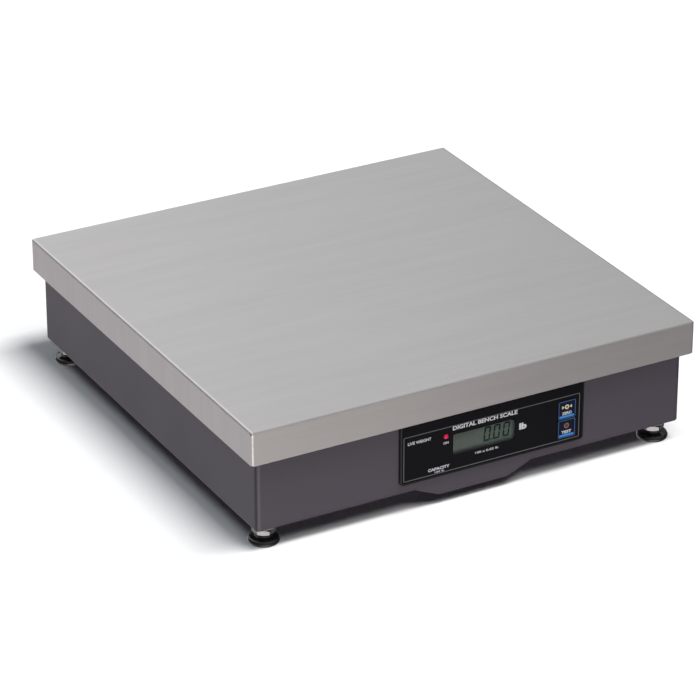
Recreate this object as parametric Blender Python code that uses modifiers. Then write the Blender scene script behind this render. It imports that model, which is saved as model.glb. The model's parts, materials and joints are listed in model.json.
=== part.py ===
"""Bench weighing scale: a stainless platter on a spider and load cell, over a painted base pan.

Metres, +Z up. The origin is on the ground under the centre, the display faces -Y, and +X is to the right.
"""

import math

import bmesh
import bpy
from mathutils import Matrix, Vector

NAME = "bench_scale"
GAP = 0.0003  # between pieces that touch

# Overall
HEIGHT = 0.1245
PLATTER_SIDE = 0.4572
SKIRT_DEPTH = 0.033
SHEET = 0.0015
BASE_SIDE = 0.4416
BASE_BOTTOM = 0.020
BASE_TOP = 0.106
BASE_LIP = 0.012
PAN_CORNER, PAN_FOLD = 0.004, 0.002
PLATTER_CORNER, PLATTER_FOLD = 0.0018, 0.0016

# Levels inside, from the floor of the pan up
FLOOR_TOP = BASE_BOTTOM + SHEET
PLATTER_UNDERSIDE = HEIGHT - SHEET
HAT_TOP = 0.0518
HAT_SHEET = 0.0025
CELL_BOTTOM = 0.0584
CELL_TOP = 0.0884
HUB_BOTTOM = 0.0949
HUB_SHEET = 0.005
ARM_TOP = 0.1127
ARM_SHEET = 0.002

# Load cell and the frames that it joins
CELL_LENGTH = 0.150
CELL_WIDTH = 0.040
CELL_HOLE_RADIUS = 0.0105
CELL_HOLE_X = 0.017
SPACER_LENGTH = 0.035
CELL_BOLT_X = 0.058
CELL_BOLT_Y = 0.010
CELL_THREAD_DEPTH = 0.022
BOLT_RADIUS = 0.004
BOLT_HEAD_RADIUS = 0.0065
BOLT_HEAD_HEIGHT = 0.008
BOLT_REACH = 0.028
HAT_LENGTH = 0.300
HAT_WIDTH = 0.064
HAT_FLANGE = 0.020
HUB_SIZE = (0.180, 0.090)
ARM_WIDTH = 0.030
ARM_REACH = 0.253
CORNER = 0.165  # x and y of each cushion and of each overload stop
STOP_HEAD = 0.0077
POST_TOP = 0.086
POST_FLATS = 0.014
POST_BORE = (0.0033, 0.018)  # radius and depth
CUSHION_HOLE_RADIUS = 0.0043
RING_INNER, RING_OUTER, RING_HEIGHT = 0.0150, 0.0170, 0.0040

# Levelling feet
FOOT_X = 0.2044
FOOT_Y = 0.2026
PAD_RADIUS = 0.0148
STUD_RADIUS = 0.00495
STUD_TOP = 0.045
HEX_FLATS = 0.019
HEX_BOTTOM, HEX_TOP = 0.0095, 0.0142
CLEAR_RADIUS = STUD_RADIUS + GAP

# Holes in the pan
FOOT_HOLE_RADIUS = 0.0056
ACCESS_HOLE_RADIUS = 0.0078
JACK_HOLE_RADIUS = 0.0059

# Display, on the front wall
WALL_FRONT = -BASE_SIDE / 2
PANEL_X = (-0.0775, 0.1145)
PANEL_Z = (0.0295, 0.0900)
PANEL_THICK = 0.0022
POCKET_DEPTH = 0.0008
OVERLAY_THICK = 0.0005
PANEL_MARGIN = 0.0020
CUTOUT_MARGIN = 0.0040
SLEEVE_REAR = -0.2030
SLEEVE_WALL = 0.0020
LCD_X = (-0.0232, 0.0415)
LCD_Z = (0.0480, 0.0685)
LED_X, LED_Z, LED_RADIUS = -0.0308, 0.0685, 0.0025
KEY_X = 0.0960
KEY_Z = {"zero": 0.0643, "test": 0.0451}
KEY_SIDE = 0.0182
KEY_PROUD = 0.0008
KEY_FLANGE = 0.0210
BOARD_FRONT = -0.2120
BOARD_THICK = 0.0016
BOARD_SCREW_X = (-0.062, 0.074)
BOARD_SCREW_Z = (0.042, 0.078)
BOARD_MARGIN = 0.0075
HOOK_X = (-0.050, 0.095)
STEM_END = -0.2166

# Rear power jack
JACK_X, JACK_Z = 0.140, 0.045
JACK_FLANGE_RADIUS = 0.007
JACK_BARREL_RADIUS = 0.0055
SOCKET_RADIUS = 0.0031
PIN_RADIUS = 0.00105

CORNERS = {"fl": (-1, -1), "fr": (1, -1), "bl": (-1, 1), "br": (1, 1)}
SIDES = (("front", -1), ("rear", 1))


# ---- scene, materials and helpers ----

def clear_scene():
    for obj in list(bpy.data.objects):
        bpy.data.objects.remove(obj)


def new_collection(name):
    collection = bpy.data.collections.new(name)
    bpy.context.scene.collection.children.link(collection)
    return collection


def new_material(name, colour, roughness, metallic=0.0):
    material = bpy.data.materials.new(name)
    material.use_nodes = True
    shader = material.node_tree.nodes["Principled BSDF"]
    shader.inputs["Base Color"].default_value = (*colour, 1.0)
    shader.inputs["Roughness"].default_value = roughness
    shader.inputs["Metallic"].default_value = metallic
    return material


clear_scene()
PARTS = new_collection(NAME)
CUTTERS = new_collection("cutters")

STAINLESS = new_material("stainless", (0.52, 0.51, 0.50), 0.32, 1.0)
BASE_PAINT = new_material("base_paint", (0.085, 0.075, 0.085), 0.5)
FRAME_PAINT = new_material("frame_paint", (0.05, 0.05, 0.055), 0.45)
ZINC = new_material("zinc", (0.62, 0.63, 0.64), 0.28, 1.0)
ALUMINIUM = new_material("aluminium", (0.70, 0.71, 0.72), 0.35, 1.0)
BLACK_PLASTIC = new_material("black_plastic", (0.012, 0.012, 0.014), 0.4)
FACE_PRINT = new_material("face_print", (0.016, 0.015, 0.018), 0.35)
LENS = new_material("lens", (0.55, 0.60, 0.55), 0.08)
LCD = new_material("lcd", (0.36, 0.42, 0.36), 0.25)
BOARD = new_material("board", (0.02, 0.12, 0.05), 0.45)
RED = new_material("red_lens", (0.80, 0.01, 0.06), 0.2)
KEY_PRINT = new_material("key_print", (0.01, 0.03, 0.12), 0.35)
RUBBER = new_material("rubber", (0.012, 0.012, 0.013), 0.35)
CUSHION = new_material("cushion", (0.02, 0.02, 0.02), 0.7)
CABLE = new_material("cable", (0.03, 0.03, 0.03), 0.5)


def add(name, mesh, material, location=(0, 0, 0), rotation=(0, 0, 0), parent=None):
    """Links a mesh or a curve as a named sub-part, at a place in the world."""
    obj = bpy.data.objects.new(name, mesh)
    mesh.materials.append(material)
    PARTS.objects.link(obj)
    obj.rotation_euler = rotation
    obj.location = Vector(location) - (parent.location if parent else Vector())
    obj.parent = parent
    return obj


def axis_empty(name, location):
    empty = bpy.data.objects.new(name, None)
    empty.location = location
    PARTS.objects.link(empty)
    return empty


def box_mesh(name, size, bevel=0.0, segments=2):
    bm = bmesh.new()
    bmesh.ops.create_cube(bm, size=1.0)
    bmesh.ops.scale(bm, vec=size, verts=bm.verts)
    if bevel:
        bmesh.ops.bevel(bm, geom=bm.edges[:], offset=bevel, segments=segments, affect="EDGES")
    return to_mesh(bm, name)


def to_mesh(bm, name):
    mesh = bpy.data.meshes.new(name)
    bmesh.ops.recalc_face_normals(bm, faces=bm.faces[:])
    bm.to_mesh(mesh)
    bm.free()
    return mesh


def box(name, low, high, material, bevel=0.0, parent=None):
    """A box between two opposite corners."""
    low, high = Vector(low), Vector(high)
    return add(name, box_mesh(name, high - low, bevel), material, (low + high) / 2, parent=parent)


def cylinder_mesh(name, radius, length, sides=24):
    bm = bmesh.new()
    bmesh.ops.create_cone(
        bm, cap_ends=True, segments=sides, radius1=radius, radius2=radius, depth=length
    )
    return to_mesh(bm, name)


def turned(name, profile, material, location, rotation=(0, 0, 0), parent=None, steps=16):
    """A turned solid. The profile is (radius, height) points, top to bottom down the outer side."""
    mesh = bpy.data.meshes.new(name)
    points = [(radius, 0.0, height) for radius, height in profile]
    edges = [(i, i + 1) for i in range(len(points) - 1)]
    if profile[0][0] > 0:
        edges.append((len(points) - 1, 0))
    mesh.from_pydata(points, edges, [])
    obj = add(name, mesh, material, location, rotation, parent)
    screw = obj.modifiers.new("turn", "SCREW")
    screw.steps = screw.render_steps = steps
    screw.use_merge_vertices = True
    screw.merge_threshold = 0.00001
    screw.use_smooth_shade = True
    return obj


def as_helper(obj):
    """Makes an object a cutter or a shape to be joined, which isn't a sub-part itself."""
    PARTS.objects.unlink(obj)
    CUTTERS.objects.link(obj)
    obj.hide_render = True
    obj.display_type = "WIRE"
    return obj


def boolean(obj, helper, operation):
    modifier = obj.modifiers.new(helper.name, "BOOLEAN")
    modifier.object = helper
    modifier.operation = operation
    modifier.solver = "EXACT"


def cut_box(obj, name, low, high, bevel=0.0):
    boolean(obj, as_helper(box(name, low, high, BASE_PAINT, bevel)), "DIFFERENCE")


def join_box(obj, name, low, high):
    boolean(obj, as_helper(box(name, low, high, BASE_PAINT)), "UNION")


def cut_hole(obj, name, centre, radius, length, rotation=(0, 0, 0), sides=16):
    mesh = cylinder_mesh(name, radius, length, sides)
    boolean(obj, as_helper(add(name, mesh, BASE_PAINT, centre, rotation)), "DIFFERENCE")


def tray_mesh(name, side, low, high, corner, fold, open_face):
    """A square folded box's surface, open at the top (+1), at the bottom (-1) or nowhere (0)."""
    bm = bmesh.new()
    bmesh.ops.create_cube(bm, size=1.0)
    bmesh.ops.scale(bm, vec=(side, side, high - low), verts=bm.verts)
    bmesh.ops.translate(bm, vec=(0, 0, (low + high) / 2), verts=bm.verts)
    upright = [e for e in bm.edges if abs(e.verts[0].co.z - e.verts[1].co.z) > 0.001]
    bmesh.ops.bevel(bm, geom=upright, offset=corner, segments=3, affect="EDGES")
    bm.normal_update()
    folded = [f for f in bm.faces if abs(f.normal.z) > 0.9 and f.normal.z * open_face < 0.5]
    rims = [e for f in folded for e in f.edges]
    bmesh.ops.bevel(bm, geom=rims, offset=fold, segments=2, affect="EDGES")
    bmesh.ops.recalc_face_normals(bm, faces=bm.faces[:])
    mouth = [f for f in bm.faces if f.normal.z * open_face > 0.9]
    bmesh.ops.delete(bm, geom=mouth, context="FACES")
    mesh = bpy.data.meshes.new(name)
    bm.to_mesh(mesh)
    bm.free()
    return mesh


def thicken(obj, thickness):
    solidify = obj.modifiers.new("sheet", "SOLIDIFY")
    solidify.thickness = thickness
    solidify.offset = -1.0
    solidify.use_even_offset = True
    obj.modifiers.new("triangles", "TRIANGULATE")  # so that the cuts stay exact


def smooth_route(points, per_span):
    """Points along one smooth curve through a route (a Catmull-Rom curve)."""
    points = [Vector(p) for p in points]
    ends = [2 * points[0] - points[1], *points, 2 * points[-1] - points[-2]]
    found = []
    for a, b, c, d in zip(ends, ends[1:], ends[2:], ends[3:]):
        for step in range(per_span):
            t = step / per_span
            found.append(
                0.5 * (2 * b + (c - a) * t + (2 * a - 5 * b + 4 * c - d) * t**2
                       + (3 * b - a - 3 * c + d) * t**3)
            )
    return [*found, points[-1]]


def cable(name, route, radius, per_span):
    curve = bpy.data.curves.new(name, "CURVE")
    curve.dimensions = "3D"
    curve.bevel_depth = radius
    curve.bevel_resolution = 2
    curve.use_fill_caps = True
    points = smooth_route(route, per_span)
    spline = curve.splines.new("POLY")
    spline.points.add(len(points) - 1)
    for place, point in zip(spline.points, points):
        place.co = (*point, 1.0)
    return add(name, curve, CABLE)


FACING_FRONT = (math.pi / 2, 0, 0)  # local +Z towards -Y
FACING_REAR = (-math.pi / 2, 0, 0)  # local +Z towards +Y


# ---- base ----

def base_pan():
    pan = add(
        "base_pan", tray_mesh("base_pan", BASE_SIDE, BASE_BOTTOM, BASE_TOP, PAN_CORNER, PAN_FOLD, 0),
        BASE_PAINT,
    )
    thicken(pan, SHEET)
    mouth = BASE_SIDE / 2 - BASE_LIP
    cut_box(pan, "pan_mouth", (-mouth, -mouth, BASE_TOP - 0.01), (mouth, mouth, BASE_TOP + 0.01))
    boolean(pan, front_tab(), "UNION")
    reach = 0.01
    cut_box(
        pan, "display_cutout",
        (PANEL_X[0] + CUTOUT_MARGIN, WALL_FRONT - reach, PANEL_Z[0] + CUTOUT_MARGIN),
        (PANEL_X[1] - CUTOUT_MARGIN, WALL_FRONT + reach, PANEL_Z[1] - CUTOUT_MARGIN),
    )
    for corner, (sx, sy) in CORNERS.items():
        centre = (sx * FOOT_X, sy * FOOT_Y, BASE_BOTTOM)
        cut_hole(pan, f"foot_hole_{corner}", centre, FOOT_HOLE_RADIUS, reach)
    for label, side in SIDES:
        centre = (-CELL_BOLT_X, side * CELL_BOLT_Y, BASE_BOTTOM)
        cut_hole(pan, f"access_hole_{label}", centre, ACCESS_HOLE_RADIUS, reach)
    cut_hole(pan, "jack_hole", (JACK_X, -WALL_FRONT, JACK_Z), JACK_HOLE_RADIUS, reach, FACING_REAR)


def front_tab():
    """The trapezium that carries the front wall down below the floor of the pan."""
    root, tip, bottom, top = 0.059, 0.0355, 0.010, 0.026
    inset = 0.0001
    wide = root + (root - tip) / (BASE_BOTTOM - bottom) * (top - BASE_BOTTOM)
    bm = bmesh.new()
    bmesh.ops.create_cube(bm, size=1.0)
    bmesh.ops.scale(bm, vec=(2 * wide, SHEET - 2 * inset, top - bottom), verts=bm.verts)
    lower = [v for v in bm.verts if v.co.z < 0]
    bmesh.ops.scale(bm, vec=(tip / wide, 1, 1), verts=lower)
    centre = (0, WALL_FRONT + SHEET / 2, (bottom + top) / 2)
    return as_helper(add("front_tab", to_mesh(bm, "front_tab"), BASE_PAINT, centre))


def cross_member():
    """A hat section along X that carries the load cell."""
    half = HAT_WIDTH / 2
    foot = half + HAT_FLANGE
    low, high = FLOOR_TOP + GAP, HAT_TOP
    ends = (-HAT_LENGTH / 2, HAT_LENGTH / 2)
    hat = box(
        "cross_member", (ends[0], -half, high - HAT_SHEET), (ends[1], half, high), FRAME_PAINT
    )
    overlap = 0.001
    for label, side in SIDES:
        wall = sorted((side * half, side * (half - HAT_SHEET)))
        flange = sorted((side * (half - overlap), side * foot))
        join_box(hat, f"hat_wall_{label}", (ends[0], wall[0], low), (ends[1], wall[1], high - overlap))
        flange_top = (ends[1], flange[1], low + HAT_SHEET)
        join_box(hat, f"hat_flange_{label}", (ends[0], flange[0], low), flange_top)
    for label, side in SIDES:
        centre = (-CELL_BOLT_X, side * CELL_BOLT_Y, HAT_TOP)
        cut_hole(hat, f"hat_bolt_hole_{label}", centre, BOLT_RADIUS + GAP, 0.02)


def load_cell():
    """An aluminium beam with two holes through it, joined by a slot, so that it bends as a parallelogram."""
    cell = box(
        "load_cell",
        (-CELL_LENGTH / 2, -CELL_WIDTH / 2, CELL_BOTTOM),
        (CELL_LENGTH / 2, CELL_WIDTH / 2, CELL_TOP),
        ALUMINIUM, 0.0006,
    )
    middle = (CELL_BOTTOM + CELL_TOP) / 2
    slot = Vector((CELL_HOLE_X, CELL_WIDTH, 0.004))
    centre = Vector((0, 0, middle))
    cut_box(cell, "cell_slot", centre - slot, centre + slot)
    for label, side in (("left", -1), ("right", 1)):
        centre = (side * CELL_HOLE_X, 0, middle)
        cut_hole(cell, f"cell_hole_{label}", centre, CELL_HOLE_RADIUS, 0.06, FACING_FRONT, 24)
    for label, side in SIDES:
        for end, x, height in (("lower", -CELL_BOLT_X, CELL_BOTTOM), ("upper", CELL_BOLT_X, CELL_TOP)):
            centre = (x, side * CELL_BOLT_Y, height)
            name = f"cell_thread_{end}_{label}"
            cut_hole(cell, name, centre, BOLT_RADIUS + GAP, 2 * CELL_THREAD_DEPTH)


def spacer(name, end, low, high, parent=None):
    inner = CELL_LENGTH / 2 - SPACER_LENGTH
    x = sorted((end * inner, end * CELL_LENGTH / 2))
    half = CELL_WIDTH / 2
    plate = box(name, (x[0], -half, low), (x[1], half, high), ZINC, 0.0004, parent)
    for label, side in SIDES:
        centre = (end * CELL_BOLT_X, side * CELL_BOLT_Y, (low + high) / 2)
        cut_hole(plate, f"{name}_hole_{label}", centre, BOLT_RADIUS + GAP, 0.02)


def socket_bolt(name, seat, rotation, parent=None):
    """A socket-head bolt: its head stands on the seat and its shank goes the other way."""
    head, reach = BOLT_HEAD_HEIGHT, BOLT_REACH
    profile = [
        (0, head - 0.004), (0.0033, head - 0.004), (0.0035, head), (BOLT_HEAD_RADIUS - 0.0005, head),
        (BOLT_HEAD_RADIUS, head - 0.0005), (BOLT_HEAD_RADIUS, 0), (BOLT_RADIUS, 0),
        (BOLT_RADIUS, 0.0006 - reach), (BOLT_RADIUS - 0.0006, -reach), (0, -reach),
    ]
    turned(name, profile, ZINC, seat, rotation, parent, steps=12)


def lower_bolts():
    seat_z = HAT_TOP - HAT_SHEET - GAP
    for label, side in SIDES:
        seat = (-CELL_BOLT_X, side * CELL_BOLT_Y, seat_z)
        socket_bolt(f"cell_bolt_lower_{label}", seat, (math.pi, 0, 0))


# ---- overload stops and feet ----

def hex_mesh(name, flats, low, high, chamfer=0.0):
    """A hexagonal prism with one flat towards -Y."""
    bm = bmesh.new()
    radius = flats / math.sqrt(3)
    bmesh.ops.create_cone(
        bm, cap_ends=True, segments=6, radius1=radius, radius2=radius, depth=high - low,
        matrix=Matrix.Translation((0, 0, (low + high) / 2)) @ Matrix.Rotation(math.radians(30), 4, "Z"),
    )
    if chamfer:
        rims = [e for e in bm.edges if abs(e.verts[0].co.z - e.verts[1].co.z) < 1e-6]
        bmesh.ops.bevel(bm, geom=rims, offset=chamfer, segments=1, affect="EDGES")
    return to_mesh(bm, name)


def hex_nut(name, flats, low, high, bore, centre):
    mesh = hex_mesh(name, flats, 0, high - low, 0.0005)
    nut = add(name, mesh, ZINC, (centre[0], centre[1], low))
    middle = (centre[0], centre[1], (low + high) / 2)
    cut_hole(nut, f"{name}_bore", middle, bore, 3 * (high - low))


def stop_post(corner, centre):
    """A hexagonal standoff on the floor of the pan, with a threaded hole in its top."""
    name = f"stop_post_{corner}"
    low = FLOOR_TOP + GAP
    post = add(name, hex_mesh(name, POST_FLATS, 0, POST_TOP - low, 0.0005), ZINC, (*centre, low))
    radius, depth = POST_BORE
    cut_hole(post, f"{name}_bore", (*centre, POST_TOP), radius, 2 * depth, sides=12)


def stop_screw(corner, centre):
    """A round-topped screw in the post. Its top is the overload stop under the spider's arm."""
    seat = POST_TOP + GAP
    head = STOP_HEAD
    profile = [
        (0, head), (0.0030, head), (0.0052, head - 0.0010), (0.0060, head - 0.0026), (0.0060, 0),
        (0.0030, 0), (0.0030, -0.0150), (0.0024, -0.0160), (0, -0.0160),
    ]
    turned(f"stop_screw_{corner}", profile, ZINC, (*centre, seat), steps=12)


def foot_bushing(corner, centre):
    name = f"foot_bushing_{corner}"
    profile = [
        (CLEAR_RADIUS, 0.0120), (0.0082, 0.0120), (0.0090, 0.0112), (0.0090, 0.0022),
        (0.0115, 0.0022), (0.0115, 0), (CLEAR_RADIUS, 0),
    ]
    turned(name, profile, ZINC, (*centre, FLOOR_TOP + GAP))


def foot_pad(corner, axis):
    """A moulded pad with a socket in its top for the end of the stud."""
    socket = STUD_RADIUS + GAP
    profile = [
        (0, 0.0022), (socket, 0.0022), (socket, 0.0092), (0.0072, 0.0092), (0.0082, 0.0086),
        (0.0098, 0.0062), (0.0128, 0.0052), (0.0143, 0.0041), (PAD_RADIUS, 0.0026),
        (0.0146, 0.0010), (0.0138, 0), (0, 0),
    ]
    turned(f"foot_pad_{corner}", profile, RUBBER, axis.location, parent=axis, steps=24)


def foot_stud(corner, axis):
    """A threaded stud with a hexagon for a spanner just above the pad."""
    name = f"foot_stud_{corner}"
    profile = [
        (0, STUD_TOP), (STUD_RADIUS - 0.0008, STUD_TOP), (STUD_RADIUS, STUD_TOP - 0.0008),
        (STUD_RADIUS, 0.0030), (STUD_RADIUS - 0.0005, 0.0025), (0, 0.0025),
    ]
    stud = turned(name, profile, ZINC, axis.location, parent=axis)
    hexagon = hex_mesh(f"{name}_hexagon", HEX_FLATS, HEX_BOTTOM, HEX_TOP, 0.0006)
    boolean(stud, as_helper(add(f"{name}_hexagon", hexagon, ZINC, axis.location)), "UNION")


def feet_and_stops():
    for corner, (sx, sy) in CORNERS.items():
        centre = (sx * FOOT_X, sy * FOOT_Y)
        axis = axis_empty(f"foot_axis_{corner}", (*centre, 0))
        foot_pad(corner, axis)
        foot_stud(corner, axis)
        nut_bottom = HEX_TOP + 0.0004
        hex_nut(f"foot_nut_{corner}", HEX_FLATS, nut_bottom, BASE_BOTTOM - GAP, CLEAR_RADIUS, centre)
        foot_bushing(corner, centre)
        stop_post(corner, (sx * CORNER, sy * CORNER))
        stop_screw(corner, (sx * CORNER, sy * CORNER))


# ---- platform: everything that the load cell carries ----

def spider(parent):
    """A hub plate with two crossed arms of inverted channel, and a plate under each arm's end."""
    hub = box(
        "spider",
        (-HUB_SIZE[0] / 2, -HUB_SIZE[1] / 2, HUB_BOTTOM),
        (HUB_SIZE[0] / 2, HUB_SIZE[1] / 2, HUB_BOTTOM + HUB_SHEET),
        FRAME_PAINT, parent=parent,
    )
    half = ARM_WIDTH / 2
    overlap = 0.0005
    for turn in (1, -1):
        angle = (0, 0, turn * math.radians(45))
        walls = [
            ("web", (2 * ARM_REACH, ARM_WIDTH, ARM_SHEET), 0, ARM_TOP - ARM_SHEET / 2),
            ("left", (2 * ARM_REACH, ARM_SHEET, ARM_TOP - HUB_BOTTOM - overlap), half - ARM_SHEET / 2, 0),
            ("right", (2 * ARM_REACH, ARM_SHEET, ARM_TOP - HUB_BOTTOM - overlap), ARM_SHEET / 2 - half, 0),
        ]
        for label, size, across, height in walls:
            name = f"arm_{label}_{turn + 2}"
            height = height or (HUB_BOTTOM + ARM_TOP - overlap) / 2
            centre = Matrix.Rotation(angle[2], 3, "Z") @ Vector((0, across, height))
            boolean(hub, as_helper(add(name, box_mesh(name, size), FRAME_PAINT, centre, angle)), "UNION")
    for corner, (sx, sy) in CORNERS.items():
        place = (sx * CORNER, sy * CORNER)
        name = f"arm_pad_{corner}"
        pad = box_mesh(name, (0.040, ARM_WIDTH - overlap, 0.003))
        angle = (0, 0, math.radians(45) * sx * sy)
        centre = (*place, HUB_BOTTOM + 0.0015 + overlap / 2)
        boolean(hub, as_helper(add(name, pad, FRAME_PAINT, centre, angle)), "UNION")
        cut_hole(hub, f"cushion_hole_{corner}", (*place, ARM_TOP), CUSHION_HOLE_RADIUS, 0.008, sides=12)
    cut_hole(hub, "hub_centre_hole", (0, 0, HUB_BOTTOM), 0.010, 0.05)
    for label, side in SIDES:
        centre = (CELL_BOLT_X, side * CELL_BOLT_Y, HUB_BOTTOM)
        cut_hole(hub, f"hub_bolt_hole_{label}", centre, BOLT_RADIUS + GAP, 0.02)


def cushion(corner, parent):
    """A push-in rubber bumper: a head that the platter rests on, and a barbed stem through the arm."""
    top = PLATTER_UNDERSIDE - GAP
    seat = ARM_TOP + GAP
    head = top - seat
    barb = seat - ARM_TOP + ARM_SHEET + GAP
    profile = [
        (0, head), (0.0112, head), (0.0125, head - 0.0010), (0.0130, head - 0.0025), (0.0130, 0.0010),
        (0.0122, 0), (0.0040, 0), (0.0040, -barb), (0.0054, -barb - 0.0004), (0.0034, -barb - 0.0040),
        (0, -barb - 0.0040),
    ]
    sx, sy = CORNERS[corner]
    turned(f"cushion_{corner}", profile, CUSHION, (sx * CORNER, sy * CORNER, seat), parent=parent)


def platform():
    carrier = axis_empty("platform_origin", (0, 0, HUB_BOTTOM))
    spacer("upper_spacer", 1, CELL_TOP + GAP, HUB_BOTTOM - GAP, carrier)
    spider(carrier)
    for label, side in SIDES:
        seat = (CELL_BOLT_X, side * CELL_BOLT_Y, HUB_BOTTOM + HUB_SHEET + GAP)
        socket_bolt(f"cell_bolt_upper_{label}", seat, (0, 0, 0), carrier)
    for corner in CORNERS:
        cushion(corner, carrier)


def platter():
    """The folded tray, with a low ring under it round each cushion, which keeps it in place."""
    origin = axis_empty("platter_origin", (0, 0, HEIGHT))
    low = HEIGHT - SKIRT_DEPTH
    mesh = tray_mesh("platter", PLATTER_SIDE, low, HEIGHT, PLATTER_CORNER, PLATTER_FOLD, -1)
    tray = add("platter", mesh, STAINLESS)
    thicken(tray, SHEET)
    tray.parent = origin
    tray.matrix_parent_inverse = Matrix.Translation(-origin.location)
    embed = 0.0003
    for corner, (sx, sy) in CORNERS.items():
        ring = turned(
            f"ring_{corner}",
            [(RING_INNER, RING_HEIGHT), (RING_OUTER, RING_HEIGHT), (RING_OUTER, 0), (RING_INNER, 0)],
            STAINLESS, (sx * CORNER, sy * CORNER, PLATTER_UNDERSIDE + embed - RING_HEIGHT),
        )
        boolean(tray, as_helper(ring), "UNION")


# ---- display ----

def bezel():
    """A moulded frame: a flange on the wall, a pocket for the overlay and a sleeve through the wall."""
    front, rear = WALL_FRONT - GAP - PANEL_THICK, WALL_FRONT - GAP
    frame = box("bezel", (PANEL_X[0], front, PANEL_Z[0]), (PANEL_X[1], rear, PANEL_Z[1]), BLACK_PLASTIC)
    clearance = 0.0004
    inset = CUTOUT_MARGIN + clearance
    outer = [(PANEL_X[0] + inset, PANEL_Z[0] + inset), (PANEL_X[1] - inset, PANEL_Z[1] - inset)]
    overlap = 0.0002
    join_box(
        frame, "sleeve", (outer[0][0], rear - overlap, outer[0][1]), (outer[1][0], SLEEVE_REAR, outer[1][1])
    )
    cut_box(
        frame, "sleeve_hollow",
        (outer[0][0] + SLEEVE_WALL, rear, outer[0][1] + SLEEVE_WALL),
        (outer[1][0] - SLEEVE_WALL, SLEEVE_REAR + 0.01, outer[1][1] - SLEEVE_WALL),
    )
    pocket = 0.0018
    cut_box(
        frame, "pocket",
        (PANEL_X[0] + pocket, front - 0.01, PANEL_Z[0] + pocket),
        (PANEL_X[1] - pocket, front + POCKET_DEPTH, PANEL_Z[1] - pocket),
    )
    margin = 0.0017
    cut_box(frame, "lens_opening", (LCD_X[0] - margin, front - 0.01, LCD_Z[0] - margin),
            (LCD_X[1] + margin, rear + 0.001, LCD_Z[1] + margin))
    cut_key_opening(frame, "bezel_key_opening", rear)
    cut_hole(frame, "bezel_led_hole", (LED_X, rear, LED_Z), LED_RADIUS + GAP, 0.012, FACING_FRONT)
    for i, x in enumerate(BOARD_SCREW_X):
        for j, z in enumerate(BOARD_SCREW_Z):
            length = BOARD_FRONT - GAP - rear + overlap
            boss = cylinder_mesh(f"boss_{i}{j}", 0.0035, length, 16)
            centre = (x, BOARD_FRONT - GAP - length / 2, z)
            boss = as_helper(add(f"boss_{i}{j}", boss, BLACK_PLASTIC, centre, FACING_FRONT))
            boolean(frame, boss, "UNION")
            cut_hole(frame, f"boss_bore_{i}{j}", (x, BOARD_FRONT, z), 0.0013, 0.014, FACING_FRONT, 12)
    for label, side in (("low", 0), ("high", 1)):
        hook_boxes(frame, label, outer[side][1], 1 if side else -1)


def hook_boxes(frame, label, edge, outwards):
    """Two snap hooks that stand out behind the wall, above or below the sleeve."""
    behind = WALL_FRONT + SHEET + GAP
    for i, x in enumerate(HOOK_X):
        z = sorted((edge - outwards * 0.001, edge + outwards * 0.0022))
        join_box(frame, f"hook_{label}_{i}", (x - 0.005, behind, z[0]), (x + 0.005, behind + 0.004, z[1]))


def cut_key_opening(obj, name, y):
    """One opening for both keys, which sit one above the other."""
    half, reach = KEY_SIDE / 2 + GAP, 0.01
    low = (KEY_X - half, y - reach, KEY_Z["test"] - half)
    cut_box(obj, name, low, (KEY_X + half, y + reach, KEY_Z["zero"] + half))


def overlay():
    """The thin printed face in the bezel's pocket."""
    margin = PANEL_MARGIN
    front = WALL_FRONT - GAP - PANEL_THICK
    face = box(
        "overlay",
        (PANEL_X[0] + margin, front, PANEL_Z[0] + margin),
        (PANEL_X[1] - margin, front + OVERLAY_THICK, PANEL_Z[1] - margin),
        FACE_PRINT,
    )
    cut_box(face, "window", (LCD_X[0], front - 0.01, LCD_Z[0]), (LCD_X[1], front + 0.01, LCD_Z[1]))
    cut_key_opening(face, "overlay_key_opening", front)
    cut_hole(face, "overlay_led_hole", (LED_X, front, LED_Z), LED_RADIUS + GAP, 0.012, FACING_FRONT)


def window_and_lcd():
    margin = 0.0014
    pocket_floor = WALL_FRONT - GAP - PANEL_THICK + POCKET_DEPTH
    box("display_lens", (LCD_X[0] - margin, pocket_floor + 0.0001, LCD_Z[0] - margin),
        (LCD_X[1] + margin, pocket_floor + 0.0011, LCD_Z[1] + margin), LENS)
    margin = 0.0030
    box("lcd_module", (LCD_X[0] - margin, WALL_FRONT, LCD_Z[0] - margin),
        (LCD_X[1] + margin, BOARD_FRONT - GAP, LCD_Z[1] + margin), LCD)


def power_light():
    reach = -BOARD_FRONT
    front = -WALL_FRONT + 0.0042
    profile = [
        (0, front - reach), (0.0010, front - reach - 0.0002), (0.0019, front - reach - 0.0010),
        (LED_RADIUS, front - reach - 0.0025), (LED_RADIUS, 0.0035), (0.0029, 0.0035),
        (0.0029, 0.0025), (0.0020, 0.0025), (0.0020, GAP), (0, GAP),
    ]
    turned("power_light", profile, RED, (LED_X, BOARD_FRONT, LED_Z), FACING_FRONT, steps=12)


def board():
    margin = BOARD_MARGIN
    low = (PANEL_X[0] + margin, BOARD_FRONT, PANEL_Z[0] + margin)
    high = (PANEL_X[1] - margin, BOARD_FRONT + BOARD_THICK, PANEL_Z[1] - margin)
    plate = box("display_board", low, high, BOARD)
    for i, x in enumerate(BOARD_SCREW_X):
        for j, z in enumerate(BOARD_SCREW_Z):
            cut_hole(plate, f"board_hole_{i}{j}", (x, BOARD_FRONT, z), 0.0014, 0.01, FACING_FRONT, 12)
            profile = [
                (0, 0.0018), (0.0020, 0.0018), (0.0028, 0.0010), (0.0028, 0), (0.0010, 0),
                (0.0010, -0.0070), (0, -0.0070),
            ]
            seat = (x, BOARD_FRONT + BOARD_THICK + GAP, z)
            turned(f"board_screw_{2 * i + j + 1}", profile, ZINC, seat, FACING_REAR, steps=12)


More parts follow.
